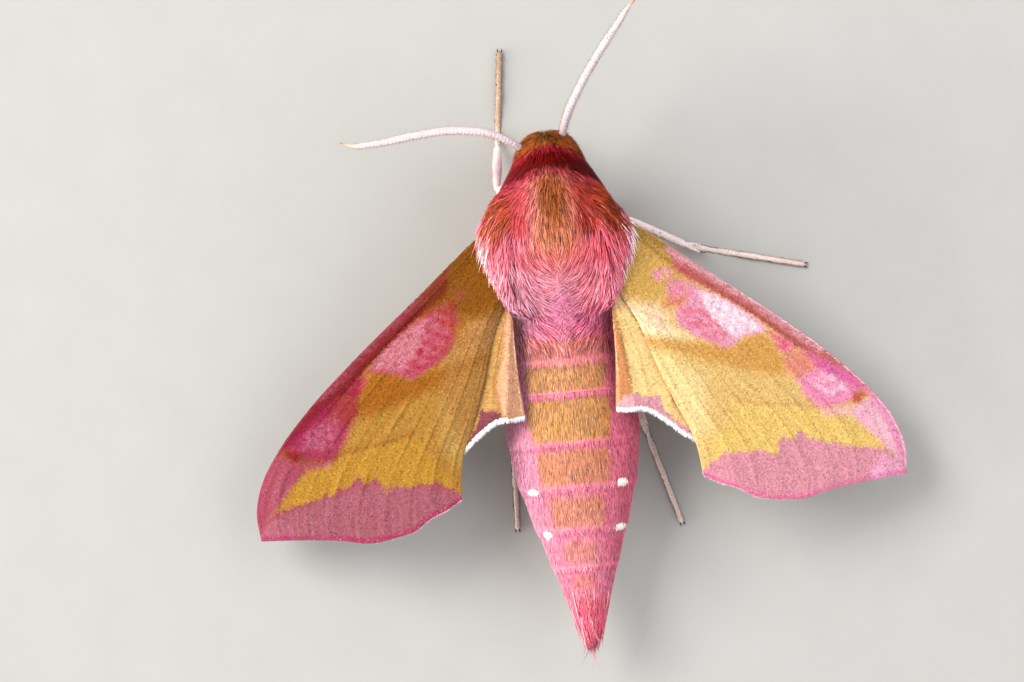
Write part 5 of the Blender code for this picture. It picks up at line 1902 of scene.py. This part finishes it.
@dataclass
class Legs:
    """Six legs: scaled femur and tibia with spurs, and a tarsus of five joints with spines and claws.

    Attributes:
        joints: Hip, knee, heel and toe of each leg, in mm, the toe as x and y on the floor.
        axis_z: Height of the tarsus's axis over the floor.
        foot_bend: How far before the point over the floor below the heel the tarsus lies down.
        spur_length: Length of a spur.
        spur_aims: How far each spur points forwards along the tarsus and aside.
        claw_steps: How far a claw reaches forwards and aside, and its height, at three places.
        spine_count: How many spines a tarsus has.
        coats: The scales of a femur, of a tibia, and of all that follows.
    """

    joints: dict[str, Points] = field(default_factory=lambda: {
        "leg_front_left": corners("-1.2 2.3 3.9, -3.15 2.3 3.5, -2.85 5 0.75, -2.2 10.6"),
        "leg_front_right": corners("1.2 2.3 3.9, 2.9 1.6 3.1, 2.7 0.5 0.75, 1.3 4.7"),
        "leg_middle_left": corners("-1 -0.8 3.6, -4.4 -1.7 4, -7 -4.3 0.75, -10.8 -9.4"),
        "leg_middle_right": corners("1 -0.8 3.6, 4.1 0.1 3.8, 7.75 -1.85 0.75, 14.6 -3.6"),
        "leg_hind_left": corners("-1.2 -3 3.6, -4.3 -6.6 3.6, -3.5 -11.4 0.75, -3.75 -17.6"),
        "leg_hind_right": corners("1.2 -3 3.6, 4.4 -6.6 3.6, 4.05 -11.4 0.75, 5.95 -18.1"),
    })
    axis_z: float = 0.2
    foot_bend: float = 0.5
    spur_length: float = 1.1
    spur_aims: Points = ((0.95, -0.14), (0.92, 0.34))
    claw_steps: Points = ((-0.1, 0.05, 0.2), (0.04, 0.13, 0.17), (0.16, 0.11, 0.04))
    spine_count: int = 150
    coats: tuple[Coat, ...] = (
        Coat(0.13, 0.4, 0.11, 0.02, 2, mix=0.05, pale=0.1, dark=0.01, shade=0.08, ridge=0.15, depth=0.1),
        Coat(0.10, 0.34, 0.09, 0.018, 2, mix=0.05, pale=0.1, dark=0.01, shade=0.08, ridge=0.15, depth=0.1),
        Coat(0.085, 0.2, 0.1, 0.012, 1, Growth.SCALE, mix=0.04, pale=0.1, dark=0.03, shade=0.1, ridge=0.12),
    )

    def parts(self, name: str) -> list[Limb]:
        """Femur, tibia, tarsus and spurs of one leg.

        Args:
            name: Which leg.

        Returns:
            Their forms; a front leg has no spurs.
        """
        hip, knee, heel = (np.array(point) for point in self.joints[name][:3])
        toe = np.array((*self.joints[name][3], self.axis_z))
        below = np.array((heel[0], heel[1], self.axis_z))
        ahead = unit(toe - below)
        bend = below + ahead * self.foot_bend
        front = name.startswith("leg_front")
        white, brown, rose = "#EBDAD4", "#A5654E", "#D98C94"
        femur = Limb((tuple(hip), tuple((hip + knee) / 2), tuple(knee)),
                     corners("0 0.1, 0.08 0.36, 0.6 0.34, 0.93 0.27, 1 0.08"),
                     ((0.0, rose), (0.6, "#EAB8B4"), (1.0, white)), under="#E6CDBE")
        middle = knee * 0.6 + heel * 0.4 + np.array((0.0, 0.0, 0.12))
        tibia = Limb((tuple(knee), tuple(middle), tuple(heel)),
                     ((0.0, 0.08), (0.06, 0.2), (0.5, 0.31 if front else 0.24), (0.92, 0.22), (1.0, 0.10)),
                     ((0.0, white), (0.35, "#D9B4C0" if front else white), (0.8, white), (1.0, "#EFE2DA")),
                     under=brown)
        toes = ((0.0, "#E6D8D0"), (0.6, "#DECCC2"), (1.0, "#CDB6AA"))
        # The front legs' tarsi are tan, partly as painted shade.
        if front:
            toes = ((0.0, "#D6C2B4"), (0.3, "#B89C84"), (1.0, "#A3876C"))
        tarsus = Limb((tuple(heel), tuple(bend), tuple((bend + toe) / 2), tuple(toe)),
                      corners("0 0.12, 0.05 0.18, 0.4 0.17, 0.8 0.15, 0.97 0.15, 1 0.05"),
                      toes, under="#A98676", beads=5, bead_swell=0.2)
        spurs = [] if front else self.spurs(knee, heel, ahead, ((0.0, white), (0.8, white), (1.0, brown)))
        return [femur, tibia, tarsus, *spurs]

    def spurs(self, knee: Array, heel: Array, ahead: Array, shades: Shades) -> list[Limb]:
        """Two pointed spurs just above a heel.

        Args:
            knee: Where the knee is.
            heel: Where the heel is.
            ahead: Which way the tarsus runs.
            shades: The spurs' colours.

        Returns:
            Their forms.
        """
        sideways = abs(ahead[0]) > abs(ahead[1])
        back = np.array((0.0, -1.0, 0.0)) if sideways else np.array((-np.sign(heel[0]), 0.0, 0.0))
        start, made = heel - unit(heel - knee) * 0.25, []
        for forward, aside in self.spur_aims:
            tip = start + (ahead * forward + back * aside + np.array((0.0, 0.0, -0.08))) * self.spur_length
            path = (tuple(start), tuple((start + tip) / 2), tuple(tip))
            made.append(Limb(path, corners("0 0.06, 0.1 0.12, 0.5 0.1, 1 0.01"), shades))
        return made

    def on_floor(self, shell: Shell) -> Shell:
        """The shell with whatever dips under the floor lifted onto it."""
        shell.points[:, 2] = np.maximum(shell.points[:, 2], 0.01)
        return shell

    def claws(self, name: str) -> list[Limb]:
        """Two curved claws at a toe's end.

        Args:
            name: Which leg.

        Returns:
            Their forms.
        """
        heel, toe = np.array(self.joints[name][2])[:2], np.array(self.joints[name][3])
        ahead, made = unit(toe - heel), []
        aside = np.array((-ahead[1], ahead[0]))
        for way in (-1, 1):
            path = tuple((*(toe + ahead * forward + aside * way * out), z)
                         for forward, out, z in self.claw_steps)
            shades = ((0.0, "#5A3A28"), (1.0, "#2E1C12"))
            made.append(Limb(path, corners("0 0.05, 0.5 0.035, 1 0.005"), shades))
        return made

    def spines(self, tarsus: Limb, rng: Rng, tile: Tile) -> Shell:
        """Short dark spines in rows along the tarsus, and close to the floor below it.

        Args:
            tarsus: What they grow on.
            rng: Random draws.
            tile: Its part of the bake map.

        Returns:
            The spines.
        """
        count = self.spine_count
        a = rng.uniform(0.06, 0.97, count)
        b = rng.choice((0.05, 0.18, 0.3, 0.7, 0.82, 0.95), count) + rng.normal(0, 0.02, count)
        points, normal, back, _ = tarsus.frame(a, b)
        aim = unit(unit(back) + normal * 0.4 + rng.normal(0, 0.08, (count, 3)))
        aim[:, 2] = np.maximum(aim[:, 2], -0.02)
        tint = linear("#4A2C20") * rng.uniform(0.7, 1.5, (count, 1))
        left, low, right, high = tile
        spot = np.column_stack([left + (right - left) * b.clip(0, 1), low + (high - low) * a])
        return strands(points, aim, normal, rng.uniform(0.1, 0.22, count), np.full(count, 0.028),
                       np.zeros(count), tint, spot)

    def build(self, rng: Rng) -> None:
        """Makes skins with claws, one piece a leg, and the scales, hairs and spines of all legs as one.

        Args:
            rng: Random draws.
        """
        pale, shells = PALE_SCALES.material(), []
        for number, name in enumerate(self.joints):
            parts = self.parts(name)
            skins = [part.skin(60 if part.beads else 26, 16) for part in parts]
            skins += [claw.skin(10, 8) for claw in self.claws(name)]
            make_piece("skin_" + name, self.on_floor(joined(skins)), pale, (name,))
            for place, part in enumerate(parts):
                tile = (number / 6, place / 5, (number + 1) / 6, (place + 1) / 5)
                coat = self.coats[min(place, 2)]
                shells.append(part.grow(coat, rng, ((0.03, 0.95), (0.0, 1.0)), tile))
            shells.append(self.spines(parts[2], rng, (number / 6, 0.4, (number + 1) / 6, 0.6)))
        make_piece("leg_scales", self.on_floor(joined(shells)), pale)


# The studio


@dataclass(frozen=True)
class Lamp:
    """A square soft lamp, with its place and the length of its side in mm."""

    name: str
    place: tuple[float, float, float]
    size: float
    watts: float
    colour: str


@dataclass
class Studio:
    """A pale floor, soft lamps and a camera that looks straight down as the photograph's does.

    Attributes:
        middle: What the picture's middle looks at, in mm in the moth's frame.
        lean: How far the moth's own +Y leans to the left of straight up in the picture.
        field: How wide the view is at the moth, in mm.
        distance: How far above that the camera is, in mm.
        sensor: Width of its sensor, in mm.
        floor_half: Half the floor's width, in mm.
        lit: What all lamps face, in mm in the moth's frame.
        lamps: The lamps.
        surround: Colour of the light from all round.
        surround_strength: How strong that is.
    """

    middle: tuple[float, float, float] = (-3.05, -6.47, 5.0)
    lean: float = math.radians(5.34)
    field: float = 59.4
    distance: float = 300.0
    sensor: float = 36.0
    floor_half: float = 1500.0
    lit: tuple[float, float, float] = (0.0, -7.0, 4.0)
    lamps: tuple[Lamp, ...] = (
        Lamp("key", (-260.0, 170.0, 340.0), 240.0, 2.4, "#FFFAF2"),
        Lamp("side", (-420.0, -60.0, 130.0), 220.0, 1.9, "#FFF6F0"),
        Lamp("fill", (330.0, -40.0, 320.0), 400.0, 1.1, "#F4F6FF"),
    )
    surround: str = "#F2F4F8"
    surround_strength: float = 0.78

    def world_place(self, x: float, y: float, z: float) -> tuple[float, float, float]:
        """A place of the moth's frame in metres."""
        return (x * MM, (y + ROOT_LINE_Y) * MM, z * MM)

    def camera(self) -> None:
        """Looks straight down, turned by the lean."""
        data = bpy.data.cameras.new("camera")
        data.sensor_width = self.sensor
        data.lens = self.distance / self.field * self.sensor
        data.clip_start, data.clip_end = 0.005, 20.0
        camera = bpy.data.objects.new("camera", data)
        x, y, z = self.middle
        camera.location = self.world_place(x, y, z + self.distance)
        camera.rotation_euler = (0.0, 0.0, -self.lean)
        bpy.context.scene.collection.objects.link(camera)
        bpy.context.scene.camera = camera

    def floor(self) -> None:
        """A large plain floor of pale card: dull, with a faint grain."""
        half = self.floor_half * MM
        mesh = bpy.data.meshes.new("floor")
        edge = [(-half, -half, 0), (half, -half, 0), (half, half, 0), (-half, half, 0)]
        mesh.from_pydata(edge, [], [(0, 1, 2, 3)])
        card, shader = plain_material("pale_card", {"Roughness": 0.9, "Specular IOR Level": 0.2})
        tree = card.node_tree
        place = add_node(tree, "TexCoord").outputs["Object"]
        noise = add_node(tree, "TexNoise", {"Vector": place, "Scale": 1 / (3.0 * MM), "Detail": 4.0})
        greys = {"Color1": (*linear("#A2A29F"), 1), "Color2": (*linear("#A8A8A5"), 1)}
        mixed = add_node(tree, "MixRGB", {"Fac": noise.outputs["Fac"], **greys})
        tree.links.new(mixed.outputs["Color"], shader.inputs["Base Color"])
        mesh.materials.append(card)
        floor = bpy.data.objects.new("floor", mesh)
        bpy.context.scene.collection.objects.link(floor)

    def hang(self, lamp: Lamp) -> None:
        """Hangs a lamp so that it faces what is lit.

        Args:
            lamp: Which one.
        """
        data = bpy.data.lights.new(lamp.name, "AREA")
        data.size, data.energy, data.color = lamp.size * MM, lamp.watts, linear(lamp.colour)
        made = bpy.data.objects.new(lamp.name, data)
        made.location = self.world_place(*lamp.place)
        aim = np.array(self.lit) - np.array(lamp.place)
        made.rotation_mode = "QUATERNION"
        made.rotation_quaternion = Vector(tuple(aim)).to_track_quat("-Z", "Y")
        bpy.context.scene.collection.objects.link(made)

    def build(self) -> None:
        """Floor, camera, lamps and a pale surround."""
        self.floor()
        self.camera()
        for lamp in self.lamps:
            self.hang(lamp)
        world = bpy.data.worlds.new("surround")
        world.use_nodes = True
        ground = world.node_tree.nodes["Background"]
        ground.inputs["Color"].default_value = (*linear(self.surround), 1)
        ground.inputs["Strength"].default_value = self.surround_strength
        bpy.context.scene.world = world
        bpy.context.scene.view_settings.view_transform = "Standard"


def main() -> None:
    """Builds the moth's parts in order."""
    logging.basicConfig(level=logging.INFO, format="%(message)s")
    rng = np.random.default_rng(SEED)
    Body().build(rng)
    Head().build(rng)
    Wings().build(rng)
    Legs().build(rng)
    Studio().build()


if __name__ == "__main__":
    main()
